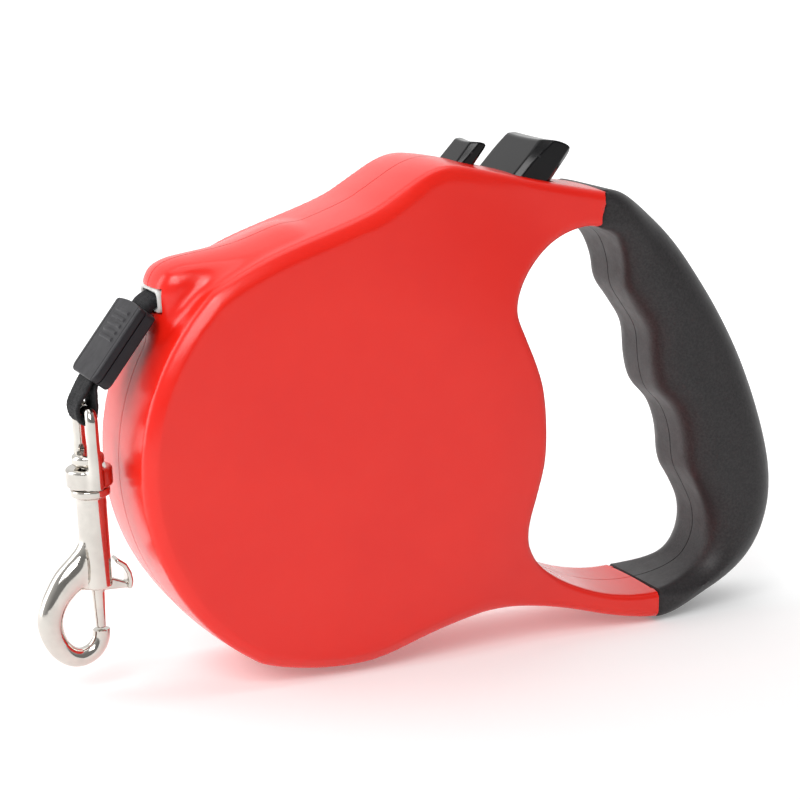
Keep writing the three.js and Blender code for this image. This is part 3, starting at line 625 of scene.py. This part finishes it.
OUTER = Outline(body_loop())
HAND = Outline(smooth_loop(OPENING))
SNOUT_SIDE = Outline(smooth_loop(SNOUT, per_span=12, rounds=14))


def side_half(x, z):
    """Half width of the body: a plateau inside a chamfered rim, which fades into the slimmer arms."""
    rise = (-OUTER(x, z) - RIM[0]) / (RIM[1] - RIM[0])
    rise = (np.hypot(rise, RIM_EASE) - np.hypot(rise - 1, RIM_EASE) + 1) / 2
    front = mix(BAND_HALF, PLATEAU_HALF, rise)
    fade = step(*ARM_FADE_R, np.hypot(x, z)) * step(*ARM_FADE_X, x)
    return mix(front, mix(BAND_HALF, ARM_HALF, step(*ARM_TAPER_X, x)), fade)


def grip_side(x, z):
    """Positive where the handle carries rubber, in mm from the joints."""
    (ax, az), (bx, bz) = TOP_JOINT
    top = x - (bx + (ax - bx) * (z - bz) / (az - bz))
    return np.where(z > 0, top, x - BOTTOM_JOINT_X)


def shell_distance(p):
    """The red outside of the case, its two arms and its snout."""
    x, y, z = p.T
    half = side_half(x, z)
    crown = BAND_CROWN * (y / BAND_HALF) ** 2
    outside = rounded(OUTER(x, z) + crown, np.abs(y) - half, mix(*RIM_EDGE, step(0, 60, x)))
    inside = rounded(-HAND(x, z) + HAND_CROWN * (y / ARM_HALF) ** 2, np.abs(y) - half, HAND_EDGE)
    body = np.maximum(outside, inside)
    snout_half = mix(*SNOUT_HALF, step(*SNOUT_X, x))
    snout = rounded(SNOUT_SIDE(x, z) + SNOUT_CROWN * y**2, np.abs(y) - snout_half, SNOUT_BLEND)
    return blend_union(body, snout, SNOUT_BLEND)


def grip_distance(p):
    """The handle with its rubber on, flat-sided at the joints and round in the hand."""
    x, y, z = p.T
    lower = np.maximum(step(*GRIP_EASE, x - BOTTOM_JOINT_X), step(*GRIP_HEEL_Z, z))
    ease = np.where(z > 0, step(*GRIP_EASE, grip_side(x, z)), lower)
    outside = rounded(OUTER(x, z), np.abs(y) - GRIP_HALF, mix(*GRIP_EDGE_OUT, ease))
    inside = rounded(-HAND(x, z), np.abs(y) - GRIP_HALF, mix(*GRIP_EDGE_IN, ease))
    return np.maximum(outside, inside)


def core_distance(p, grow):
    """The handle's core under the rubber, which reaches a little way into the shells."""
    return np.maximum(grip_distance(p) + GRIP_SKIN - grow, -CORE_REACH - grip_side(p[:, 0], p[:, 2]))


def housing_distance(p):
    red = np.maximum(shell_distance(p), grip_side(p[:, 0], p[:, 2]))
    return np.minimum(red, core_distance(p, 0))


def rubber_distance(p):
    return np.maximum(grip_distance(p), SEAM - grip_side(p[:, 0], p[:, 2]))


def lean_prism(corners, half):
    return prism_mesh([tuple(lean(a, u)) for a, u in corners], -half, half)


def housing_tools():
    """What is hollowed out of the housing: the reel chamber, outlet, button wells and screw recesses."""
    chamber = prism_mesh(round_loop(CHAMBER_R, REEL, 96), -CHAMBER_HALF, CHAMBER_HALF)
    brake_well = lean_prism(BRAKE_WELL, BRAKE_WELL_HALF)
    lock_well = lean_prism(LOCK_WELL, LOCK_WELL_HALF)
    seat = tape_box(*INSERT_SEAT)
    screws = [prism_mesh(round_loop(SCREW_RECESS_R, place, 32), *SCREW_RECESS_Y) for place in SCREWS]
    return [chamber, brake_well, lock_well, seat, *screws]


def tape_box(low, high):
    corners = [(low[0], low[2]), (high[0], low[2]), (high[0], high[2]), (low[0], high[2])]
    return prism_mesh(side_view(tape_place([(x, 0, z) for x, z in corners])), low[1], high[1])


BODY_BOX = ((-64, -20.5, -61), (132, 20.5, 76))  # low and high corners of the nets
GRIP_BOX = ((60, -16, -61), (132, 16, 66))
CORE_PITCH = 1.3


def build_body():
    pitch = 0.85
    points, quads = surface_net(housing_distance, *BODY_BOX, pitch)
    obj = make("housing_whole", points, quads, RED, None)
    carve(obj, *housing_tools())
    halves(obj, RED, ("shell_left", "shell_right"), ("housing_left", "housing_right"))
    points, quads = surface_net(rubber_distance, *GRIP_BOX, pitch)
    obj = make("grip_whole", points, quads, RUBBER, None)
    carve(obj, surface_net(lambda p: core_distance(p, SEAM), *GRIP_BOX, CORE_PITCH))
    halves(obj, RUBBER, ("rubber_left", "rubber_right"), ("grip_left", "grip_right"))


# ---------------------------------------------------------------- local frames of the small pieces


def lean_place(points):
    """From (along the button row, y, up the travel) to case-centred places."""
    p = np.asarray(points, float)
    side = lean(p[:, :1], p[:, 2:])
    return np.stack([side[:, 0], p[:, 1], side[:, 1]], 1)


def turn_place(points, origin, angle):
    """Turns points drawn around the origin about Y, as the CAD source does, and moves them to a place."""
    p = np.asarray(points, float)
    c, s = math.cos(angle), math.sin(angle)
    return np.stack([
        origin[0] + p[:, 0] * c + p[:, 2] * s, p[:, 1], origin[1] - p[:, 0] * s + p[:, 2] * c], 1)


def stopper_place(points):
    return turn_place(points, STOPPER_TOP, math.pi / 2 - HANG)


def snap_place(points):
    """From (ahead of or behind the eye bar, y, case-centred z) drawn upright."""
    p = np.asarray(points, float) - np.array([0, 0, EYE[1]])
    return turn_place(p, EYE, SNAP_TILT)


def tape_place(points):
    """Points drawn at the mouth, with x running back along the tape."""
    return turn_place(points, MOUTH, -TAPE_TILT)


def side_view(points):
    return [(q[0], q[2]) for q in points]


def rounded_polygon(corners, reach, divisions=8):
    """A polygon whose corners are curves that start the given reach before and after each."""
    out = []
    corners = [np.array(c, float) for c in corners]
    for i, corner in enumerate(corners):
        before, after = corners[i - 1], corners[(i + 1) % len(corners)]
        start = corner + reach[i] * (before - corner) / np.linalg.norm(before - corner)
        end = corner + reach[i] * (after - corner) / np.linalg.norm(after - corner)
        for t in np.linspace(0, 1, divisions):
            out.append((1 - t) ** 2 * start + 2 * t * (1 - t) * corner + t * t * end)
    return np.array(out)


def open_curve(points, per_span=12):
    """An open smooth curve through rows of numbers."""
    p = np.array(points, float)
    p = np.vstack([2 * p[0] - p[1], p, 2 * p[-1] - p[-2]])
    out = []
    for a, b, c, d in zip(p, p[1:], p[2:], p[3:]):
        for t in np.linspace(0, 1, per_span, endpoint=False):
            cubic = (3 * b - a - 3 * c + d) * t**3
            out.append(0.5 * (2 * b + (c - a) * t + (2 * a - 5 * b + 4 * c - d) * t**2 + cubic))
    out.append(p[-2])
    return np.array(out)


def pitch_of(fine):
    return fine * 1


# ---------------------------------------------------------------- buttons


def button(corners, reach, half, front, front_cut, rear, rear_cut):
    """Sizes of a button: side outline, half width, then the sloping front and rear planes as a place and
    a lean, each with the width cut off its upright edges."""
    return dict(
        loop=rounded_polygon(corners, reach), top=max(up for _, up in corners), half=half,
        front=front, front_cut=front_cut, rear=rear, rear_cut=rear_cut)


BRAKE = button(
    [(-1.6, -6.8), (8.5, -1.8), (7.5, 14.3), (2.4, 12.9), (-1.2, 10.2)], [1.6, 1.8, 3, 2.5, 0.9],
    half=11.3, front=(-1.5, 0.018), front_cut=(1.6, 2.6), rear=(8.25, -0.07), rear_cut=1.3)
LOCK = button(
    [(-14.4, -12), (-9.7, -9.6), (-10.4, 0.4), (-12.3, -0.2), (-14.4, -1.6)], [1.4, 1.4, 1.4, 0.9, 0.5],
    half=6.0, front=(-14.4, 0), front_cut=(1.0, 1.5), rear=(-10.35, -0.07), rear_cut=0.9)
DISH_DEPTH = 0.5
DISH_ENDS = (7, 1)  # how far behind the front the dish starts and is full
FLARE = (14, 2)  # how far under the top the dish and the wider cut start and are full
BUTTON_EDGE = 0.3
CHAMFER_EDGE = 0.15


def button_distance(b, p):
    """A leaning wedge with chamfered upright edges and a slightly dished front of its top."""
    a, y, u = p.T
    share = step(*(b["top"] - depth for depth in FLARE), u)
    forward = step(*(b["front"][0] + behind for behind in DISH_ENDS), a)
    dish = DISH_DEPTH * (1 - (y / b["half"]) ** 2) * forward
    side = loop_distance(b["loop"], np.stack([a, u + dish * share], 1))
    from_front = a - b["front"][0] - b["front"][1] * u
    from_rear = b["rear"][0] + b["rear"][1] * u - a
    slab = rounded(side, np.abs(y) - b["half"], BUTTON_EDGE)
    cut = mix(*b["front_cut"], share**2)
    slab = rounded(slab, (np.abs(y) - b["half"] + cut - from_front) / math.sqrt(2), CHAMFER_EDGE)
    rear = (np.abs(y) - b["half"] + b["rear_cut"] - from_rear) / math.sqrt(2)
    return rounded(slab, rear, CHAMFER_EDGE)


def build_buttons():
    for name, b, body, node in (
        ("brake_cap", BRAKE, "brake", "brake_button"),
        ("lock_cap", LOCK, "lock", "lock_button"),
    ):
        margin = 1
        low_a, low_u = b["loop"].min(0) - margin
        high_a, high_u = b["loop"].max(0) + margin
        half = b["half"] + margin
        low, high = (low_a, -half, low_u), (high_a, half, high_u)
        points, quads = surface_net(lambda p: button_distance(b, p), low, high, pitch_of(0.34))
        make(name, lean_place(points), quads, BLACK, body, (node,), 30)


# ---------------------------------------------------------------- stopper


RIB_PITCH = 1.9
RIB_COUNT = 5
RIB_TOP = -2.6  # height of the first rib under the stopper's top
RIB_HALF = (0.38, 4.6, 0.45)
RIB_EDGE = 0.3
TOP_BOW = 0.7  # how much further the top reaches in the middle
TOP_CORNER = 0.9
FOOT_CORNER = 2.2
STOPPER_EDGE = 0.45
GROOVE_INSET = 1.7
GROOVE_HALF = 0.12
GROOVE_DEPTH = 0.28
PASSAGE_HALF = (1.3, 5.2)  # where the tape goes in and the loop comes out
PASSAGE_EDGE = 0.5


def stopper_distance(p):
    """A slab with a bowed top, cross ribs and a framing groove on its front, and a passage for the tape."""
    x, y, z = p.T
    half_l = STOPPER_LENGTH / 2
    half_w = STOPPER_WIDTH / 2
    half_t = STOPPER_THICKNESS / 2
    bow = TOP_BOW * (1 - (y / half_w) ** 2) - 0.1
    end = layer(z, -STOPPER_LENGTH, 0) - np.where(z > -half_l, bow, 0)
    face = rounded(np.abs(y) - half_w, end, np.where(z < -half_l, FOOT_CORNER, TOP_CORNER))
    slab = rounded(face, np.abs(x) - half_t, STOPPER_EDGE)
    ribs = np.full(len(p), FAR)
    for i in range(RIB_COUNT):
        centre = np.array([-half_t, 0, RIB_TOP - i * RIB_PITCH])
        ribs = np.minimum(ribs, box_distance(p - centre, RIB_HALF, RIB_EDGE))
    solid = blend_union(slab, ribs, RIB_EDGE)
    groove = np.abs(np.abs(y) - half_w + GROOVE_INSET) - GROOVE_HALF
    groove = np.maximum(groove, -x - half_t - 1)
    groove = np.maximum(groove, x + half_t - GROOVE_DEPTH)
    passage = box_distance(p - np.array([0, 0, -half_l]), (*PASSAGE_HALF, half_l + 3), PASSAGE_EDGE)
    return blend_cut(np.maximum(solid, -groove), passage, PASSAGE_EDGE)


def build_stopper():
    low = (-STOPPER_THICKNESS / 2 - 1, -STOPPER_WIDTH / 2 - 0.8, -STOPPER_LENGTH - 0.8)
    high = (STOPPER_THICKNESS / 2 + 0.8, STOPPER_WIDTH / 2 + 0.8, 1.6)
    split, gap = -0.5, 0.12  # where cover and body meet, and half the gap there
    for name, node, side in (("stopper_front", "stopper_cover", 1), ("stopper_back", "stopper_body", -1)):
        points, quads = surface_net(
            lambda p: np.maximum(stopper_distance(p), side * (p[:, 0] - split) + gap),
            low, high, pitch_of(0.22))
        make(name, stopper_place(points), quads, CHARCOAL, "stopper", (node,), 35)


# ---------------------------------------------------------------- outlet insert


INSERT_HALF = (6.6, 3.1)  # half sizes along y and z
INSERT_LENGTH = 6.0
INSERT_CORNER = 2.0
INSERT_EDGE = 0.8
SLOT_HALF = (5.4, 1.75)
SLOT_CORNER = 0.9


def insert_distance(p):
    """A rounded frame with a slot whose mouth is eased for the tape."""
    x, y, z = p.T
    frame_side = rounded(np.abs(y) - INSERT_HALF[0], np.abs(z) - INSERT_HALF[1], INSERT_CORNER)
    block = rounded(frame_side, layer(x, 0, INSERT_LENGTH), INSERT_EDGE)
    slot = rounded(np.abs(y) - SLOT_HALF[0], np.abs(z) - SLOT_HALF[1], SLOT_CORNER)
    return blend_cut(block, slot, SLOT_CORNER)


def build_insert():
    points, quads = surface_net(insert_distance, (-0.6, -7.2, -3.5), (6.6, 7.2, 3.5), pitch_of(0.22))
    make("outlet_frame", tape_place(points), quads, SILVER, "housing", ("nozzle_guide",), 35)


# ---------------------------------------------------------------- webbing


TWILL = 0.9  # mm between the diagonal ridges of the weave
RIDGE = 0.09  # height of those ridges
RIB = 0.05
BEND_THICKNESS = 2.9
LOOP_THICKNESS = 1.3
LAYER = 0.75  # the loop's two layers leave the stopper this far off centre


def strip(path, widths, curls, thickness):
    """Woven tape along a path in x and z: closed, with twill ridges, side edges and a curled section."""
    path = np.array(path, float)
    along = np.concatenate([[0], np.cumsum(np.linalg.norm(np.diff(path, axis=0), axis=1))])
    count = max(8, int(along[-1] / (0.22)))
    across = 44
    s = np.linspace(0, along[-1], count)
    centre = np.stack([np.interp(s, along, path[:, k]) for k in (0, 1)], 1)
    tangent = np.gradient(centre, axis=0)
    tangent /= np.linalg.norm(tangent, axis=1, keepdims=True)
    normal = np.stack([-tangent[:, 1], tangent[:, 0]], 1)
    share = s / along[-1]
    width = np.interp(share, *widths)
    curl = np.interp(share, *curls)
    t = np.linspace(-1, 1, across)
    rows = []
    for side in (1, -1):
        y = width[:, None] / 2 * t[None, :]
        ridge = RIDGE * np.sin(2 * math.pi * (s[:, None] + side * y) / TWILL)
        rib = RIB * np.cos(2 * math.pi * y / (TWILL * 0.55))
        edge = 1 - np.abs(t[None, :]) ** 10
        height = side * (thickness / 2 * np.sqrt(edge) + (ridge + rib) * edge)
        height = height - curl[:, None] * t[None, :] ** 2
        x = centre[:, :1] + normal[:, :1] * height
        z = centre[:, 1:] + normal[:, 1:] * height
        rows.append(np.stack([x, y * np.ones_like(x), z], -1))
    top, under = rows
    ring = np.concatenate([top, under[:, -2:0:-1]], 1)
    around = ring.shape[1]
    faces = []
    for i in range(count - 1):
        for j in range(around):
            k = (j + 1) % around
            faces.append((i * around + j, i * around + k, (i + 1) * around + k, (i + 1) * around + j))
    faces.append(tuple(range(around - 1, -1, -1)))
    faces.append(tuple((count - 1) * around + j for j in range(around)))
    return ring.reshape(-1, 3), faces


def build_bend():
    """The tape from inside the insert, over its lower lip and into the stopper."""
    inside = side_view(tape_place([(8, 0, 0), (4, 0, 0), (1.0, 0, 0)]))
    over_lip = [(-53.2, 39.9), (-54.3, 38.6)]
    into = side_view(stopper_place([(0.5, 0, -1.5), (0, 0, -6)]))
    path = open_curve(inside + over_lip + into)
    points, faces = strip(path, ([0, 1], [10.4, 9.8]), ([0, 1], [0, 0]), BEND_THICKNESS)
    piece = make("webbing_bend", points, faces, WEBBING, None, (), 60)
    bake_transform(piece)


def build_loop():
    """The sewn loop: out of the stopper, around the eye's bar and back in, pinched and curled at the bar."""
    foot = -STOPPER_LENGTH
    front = side_view(stopper_place([(-LAYER, 0, foot + 6), (-LAYER, 0, foot)]))
    rear = side_view(stopper_place([(LAYER, 0, foot), (LAYER, 0, foot + 6)]))
    turn = [
        (-70.9, 18.2), (-71.9, 15.4), (-71.3, 12.7), (-69.5, 11.9), (-67.9, 12.8), (-67.4, 15.4),
        (-67.7, 18.2),
    ]
    widths = ([0, 0.25, 0.35, 0.5, 0.65, 0.75, 1], [9.8, 9.6, 8.6, 7.8, 8.4, 9.6, 9.8])
    curls = ([0, 0.25, 0.38, 0.5, 0.62, 0.75, 1], [0, 0.1, 0.5, 0.4, -0.2, 0, 0])
    points, faces = strip(open_curve(front + turn + rear), widths, curls, LOOP_THICKNESS)
    make("loop_webbing", points, faces, WEBBING, "stopper", ("webbing_loop",), 60)


# ---------------------------------------------------------------- bolt snap


BAIL_HALF = 5.9  # from the middle to the axis of the wire
BAIL_CORNER = 2.6
BAIL_WIRE_R = 1.55
DRUM_R = 5.9
DRUM_LOW = -5.0
EYE_BORE_R = 2.05
HEAD_ROOM_R = 4.4
HEAD_ROOM_HIGH = 4.4


def eye_distance(p):
    """A bail of round wire on a drum, with a bore for the hook's stud and room for its head."""
    x, y, z = p.T
    bail_top = EYE[1]
    past_y = np.maximum(np.abs(y) - (BAIL_HALF - BAIL_CORNER), 0)
    past_z = np.maximum(z - (bail_top - BAIL_CORNER), 0)
    beside = np.abs(y) - BAIL_HALF
    arch = np.where(z > -3, np.hypot(past_y, past_z) - BAIL_CORNER, beside)
    arch = np.where((past_y > 0) | (past_z > 0), arch, np.maximum(beside, z - bail_top))
    thick = mix(BAIL_WIRE_R + 0.25, BAIL_WIRE_R, step(0, 8, z))
    bail = np.hypot(arch, x) - thick
    bail = np.maximum(bail, DRUM_LOW + 0.4 - z)
    drum = round_bar(p, DRUM_R, DRUM_LOW, 0, 0.9)
    solid = blend_union(bail, drum, 1.2)
    radius = np.hypot(x, y)
    bore = radius - EYE_BORE_R
    head_room = np.maximum(radius - HEAD_ROOM_R, -z)
    head_room = np.maximum(head_room, z - HEAD_ROOM_HIGH)
    return np.maximum(solid, -np.minimum(bore, head_room))


HOOK_LINE = [  # x, z and half width of the wire
    (0, -20.5, 3.2), (-3.4, -25.6, 4.4), (-7.3, -28.6, 4.0), (-10.0, -31.6, 3.5), (-12.0, -35, 3.3),
    (-13.0, -38.8, 3.25), (-12.4, -42.8, 3.0), (-10.7, -46.2, 2.8), (-8.4, -48.4, 2.6), (-5.7, -49.2, 2.4),
    (-2.9, -48.4, 2.3), (-1.0, -46.6, 2.25), (0, -44, 2.2), (0.1, -40, 2.2),
]
HOOK_CURVE = open_curve(HOOK_LINE, 8)
HOOK_DEPTH = 3.3  # most half depth of the wire

BARREL_R = 3.8
BARREL = (-31.5, -8.3)  # lower and upper end
FLANGE_R = 5.0
FLANGE = (-7.35, -5.45)
NECK_R = 3.6
NECK = (-10, -6)
STUD_R = 1.75
STUD = (-6.5, 2.5)
HEAD_R = 4.1
HEAD = (0.4, 3.4)
BARREL_BORE_R = 2.3
BARREL_BORE = (-40, -11)
TIP_TOP = -42.7  # the bolt closes on the hook's tip here
THUMB_SLOT = ((3.4, 0, -24.6), (2.8, 1.35, 8.2))  # centre and half sizes


def hook_distance(p):
    """A hook of flattened wire under a barrel with a flange, a bore and a slot for the bolt, and its stud."""
    x, y, z = p.T
    barrel = round_bar(p, BARREL_R, *BARREL, 0.7)
    flange = round_bar(p, FLANGE_R, *FLANGE, 0.45)
    neck = round_bar(p, NECK_R, *NECK, 0.2)
    trunk = blend_union(blend_union(barrel, neck, 0.6), flange, 1.6)
    stud = round_bar(p, STUD_R, *STUD, 0.2)
    head = round_bar(p, HEAD_R, *HEAD, 1.1)
    wire = np.full(len(p), FAR)
    for cx, cz, half in HOOK_CURVE:
        depth = min(half, HOOK_DEPTH)
        reach = np.sqrt((x - cx) ** 2 + (z - cz) ** 2 + (y * half / depth) ** 2) - half
        wire = np.minimum(wire, reach * depth / half)
    tip = np.maximum(z - TIP_TOP, np.abs(x - 0.1) - 3.2)
    wire = np.where((x > -3.1) & (z > -44.5), np.maximum(wire, tip), wire)
    solid = np.minimum(np.minimum(blend_union(trunk, wire, 1.6), stud), head)
    bore = np.maximum(np.hypot(x, y) - BARREL_BORE_R, layer(z, *BARREL_BORE))
    centre, half_sizes = THUMB_SLOT
    slot = box_distance(p - np.array(centre), half_sizes, 0.8)
    return np.maximum(np.maximum(solid, -bore), -slot)


PAD_LINE = [(5.2, -25.3), (6.9, -26.7), (7.9, -28.9), (8.2, -31), (7.8, -32.4)]
PAD_R = 0.62
PAD_HALF = 2.4
ARM_OF_PAD_HALF = 1.2
PIN = (-42.3, -20.0)  # lower and upper end
PIN_RADII = ([-42.3, -33, -31, -20], [1.25, 1.65, 2.0, 2.0])


def bolt_distance(p):
    """A pin that thins towards its tip, with an arm out through the slot to a curved thumb pad."""
    x, y, z = p.T
    thinning = (np.hypot(x, y) - np.interp(z, *PIN_RADII)) * 0.98
    pin = rounded(thinning, layer(z, *PIN), 0.35)
    side = np.stack([x, np.zeros_like(x), z], 1)
    pad = np.full(len(p), FAR)
    for (ax, az), (bx, bz) in zip(PAD_LINE, PAD_LINE[1:]):
        pad = np.minimum(pad, bone(side, (ax, 0, az), (bx, 0, bz), PAD_R, PAD_R))
    arm = bone(side, (1, 0, -30.6), (7.4, 0, -32.2), 1.9, 0.75)
    pad = rounded(pad, np.abs(y) - PAD_HALF, 0.5)
    arm = rounded(arm, np.abs(y) - ARM_OF_PAD_HALF, 0.4)
    return blend_union(blend_union(pad, arm, 0.5), pin, 0.4)


def build_snap():
    for name, distance, low, high, body, node in (
        ("eye_casting", eye_distance, (-7, -8.4, -5.6), (7, 8.4, 17.2), "eye", "snap_eye"),
        ("hook_casting", hook_distance, (-17.6, -6, -52.6), (6.2, 6, 4.2), "hook", "snap_hook"),
        ("bolt_casting", bolt_distance, (-2.8, -3.2, -43), (10, 3.2, -19), "bolt", "snap_bolt"),
    ):
        points, quads = surface_net(distance, low, high, pitch_of(0.3))
        make(name, snap_place(points), quads, NICKEL, body, (node,), 38)


# ---------------------------------------------------------------- springs


def coil_mesh(foot, head, radius, turns, wire):
    """A round-wire compression spring between two points, its end turns closed up."""
    foot, head = np.array(foot, float), np.array(head, float)
    axis = (head - foot) / np.linalg.norm(head - foot)
    side = np.cross(axis, (0, 1, 0))
    side /= np.linalg.norm(side)
    other = np.cross(axis, side)
    length = np.linalg.norm(head - foot) - 2 * wire
    count, around = turns * 24, 8
    share = np.linspace(0, 1, count + 1)
    turn = 2 * math.pi * turns * share
    rise = wire + length * step(-0.12, 1.12, share)
    rise = wire + length * (rise - rise[0]) / (rise[-1] - rise[0])
    outward = np.cos(turn)[:, None] * side + np.sin(turn)[:, None] * other
    centre = foot + rise[:, None] * axis + (radius - wire) * outward
    points = []
    for k in range(around):
        angle = 2 * math.pi * k / around
        points.append(centre + wire * (math.cos(angle) * outward + math.sin(angle) * axis))
    points = np.stack(points, 1).reshape(-1, 3)
    faces = [list(range(around))[::-1], [count * around + k for k in range(around)]]
    for i in range(count):
        for k in range(around):
            n = (k + 1) % around
            faces.append([i * around + k, i * around + n, (i + 1) * around + n, (i + 1) * around + k])
    return points, faces


def button_end(across, y, up):
    x, z = lean(across, up)
    return (x, y, z)


# Piece, node, body, joint, fixed and moving end, radius, wire radius and the share of its length it keeps.
COIL_TURNS = 5
COILS = (
    ("brake_coil", "brake_spring", "housing", "brake_press",
     button_end(3, 3, -15.2), button_end(3, 3, -5.8), 2.6, 0.4, 0.5),
    ("lock_coil", "lock_spring", "housing", "lock_press",
     button_end(-12.2, 2, -20.2), button_end(-12.2, 2, -12.2), 2.0, 0.35, 0.66),
    ("bolt_coil", "bolt_spring", "hook", "bolt_slide",
     *snap_place([(0, 0, -11.04), (0, 0, -19.6)]), 1.6, 0.25, 0.04),
)


def build_springs():
    for name, node, body, joint, fixed, moving, radius, wire, keep in COILS:
        points, faces = coil_mesh(fixed, moving, radius, COIL_TURNS, wire)
        piece = make(name, points, faces, STEEL, body, (node,), 60)
        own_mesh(piece)


# ---------------------------------------------------------------- case screws


SCREW_HEAD_R = 2.2
SCREW_HEAD = (9.0, 10.8)  # lower and upper end
SCREW_SHANK_R = 1.1
SCREW_SHANK = (-11.5, 9.1)
CROSS_HALF = (1.35, 0.28)
CROSS_DEPTH = 0.8


def screw_distance(p):
    """A pan head with a cross recess on a plain shank, drawn with the head up z."""
    head = round_bar(p, SCREW_HEAD_R, *SCREW_HEAD, 0.55)
    shank = round_bar(p, SCREW_SHANK_R, *SCREW_SHANK, 0.4)
    from_top = p - np.array([0, 0, SCREW_HEAD[1]])
    long, narrow = CROSS_HALF
    cross = np.minimum(
        box_distance(from_top, (long, narrow, CROSS_DEPTH)),
        box_distance(from_top, (narrow, long, CROSS_DEPTH)))
    return np.maximum(np.minimum(head, shank), -cross)


def build_screws():
    points, quads = surface_net(screw_distance, (-2.8, -2.8, -12), (2.8, 2.8, 11.4), pitch_of(0.2))
    for i, (x, z) in enumerate(SCREWS):
        placed = np.stack([x + points[:, 0], points[:, 2], z - points[:, 1]], 1)
        make(f"case_screw_{i + 1}", placed, quads, STEEL, "housing", (f"housing_screw_{i + 1}",), 35)


# ---------------------------------------------------------------- stage, light and camera


CAMERA_AZIMUTH = math.radians(-25)
CAMERA_ELEVATION = math.radians(13)
CAMERA_DISTANCE = 585.0
CAMERA_TARGET = np.array([16.5, 0, 8.5])
FLOOR_SPAN = 6.0  # metres from the middle to each side
FLOOR_GAP = 0.001  # metres under the lowest piece
MIDDLE = (-0.09, 0, 0)  # lamps aim here, in metres
BUTTON_EDGE_PLACE = (-0.058, -0.011, 0.071)


def add_camera():
    back = np.array([
        math.sin(CAMERA_AZIMUTH) * math.cos(CAMERA_ELEVATION),
        -math.cos(CAMERA_AZIMUTH) * math.cos(CAMERA_ELEVATION),
        math.sin(CAMERA_ELEVATION)])
    data = bpy.data.cameras.new("camera")
    data.lens = 100
    data.sensor_width = 36
    data.clip_end = 20
    camera = add_object("camera", data)
    camera.location = to_row(CAMERA_TARGET + CAMERA_DISTANCE * back)
    camera.rotation_euler = Vector(-back).to_track_quat("-Z", "Y").to_euler()
    bpy.context.scene.camera = camera


def soft_box(name, place, aim, size, power):
    """A white rectangular lamp, in metres and watts."""
    data = bpy.data.lights.new(name, "AREA")
    data.shape = "RECTANGLE"
    data.size, data.size_y = size
    data.energy = power
    lamp = add_object(name, data)
    lamp.location = place
    lamp.rotation_euler = (Vector(aim) - Vector(place)).to_track_quat("-Z", "Y").to_euler()


def add_floor():
    """A white floor that glows more towards the back, so that it runs out into white."""
    z = min(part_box(node)[0].z for node in ("snap_hook", "housing_left")) - FLOOR_GAP
    corners = [(x * FLOOR_SPAN, y * FLOOR_SPAN, z) for x, y in ((-1, -1), (1, -1), (1, 1), (-1, 1))]
    mesh = bpy.data.meshes.new("floor")
    mesh.from_pydata(corners, [], [(0, 1, 2, 3)])
    n = Nodes("floor")
    n.colour(n.colours(n.noise(6), (0.84, 0.84, 0.84), (0.87, 0.87, 0.87)))
    n.set(Roughness=0.9, Emission_Color=(1, 1, 1, 1))
    glow = level_along_y(n.tree, "Object", 0.04, 0.55, -0.12, 0.25)
    n.link(glow, n.shader.inputs["Emission Strength"])
    mesh.materials.append(n.material)
    add_object("floor", mesh)


def add_world():
    """White surroundings, dim in front of the object and bright behind it."""
    world = bpy.data.worlds.new("world")
    world.use_nodes = True
    tree = world.node_tree
    background = tree.nodes["Background"]
    background.inputs["Color"].default_value = (1, 1, 1, 1)
    strength = level_along_y(tree, "Generated", 0.24, 0.95, -0.7, 0.6)
    tree.links.new(strength, background.inputs["Strength"])
    bpy.context.scene.world = world
    bpy.context.scene.view_settings.view_transform = "Standard"


def add_lamps():
    soft_box("key", (-0.8, -0.75, 0.8), MIDDLE, (0.7, 0.7), 8.2)
    soft_box("top", (-0.1, 0.1, 1.0), MIDDLE, (0.9, 0.7), 2.6)
    soft_box("edge", (-0.72, -0.575, 1.04), BUTTON_EDGE_PLACE, (0.28, 0.28), 1.3)
    soft_box("side", (-0.9, 0.35, 0.3), MIDDLE, (0.5, 0.8), 3)


dress_cad_nodes()
build_body()
build_buttons()
build_stopper()
build_insert()
build_bend()
build_loop()
build_snap()
build_springs()
build_screws()
add_camera()
add_floor()
add_world()
add_lamps()
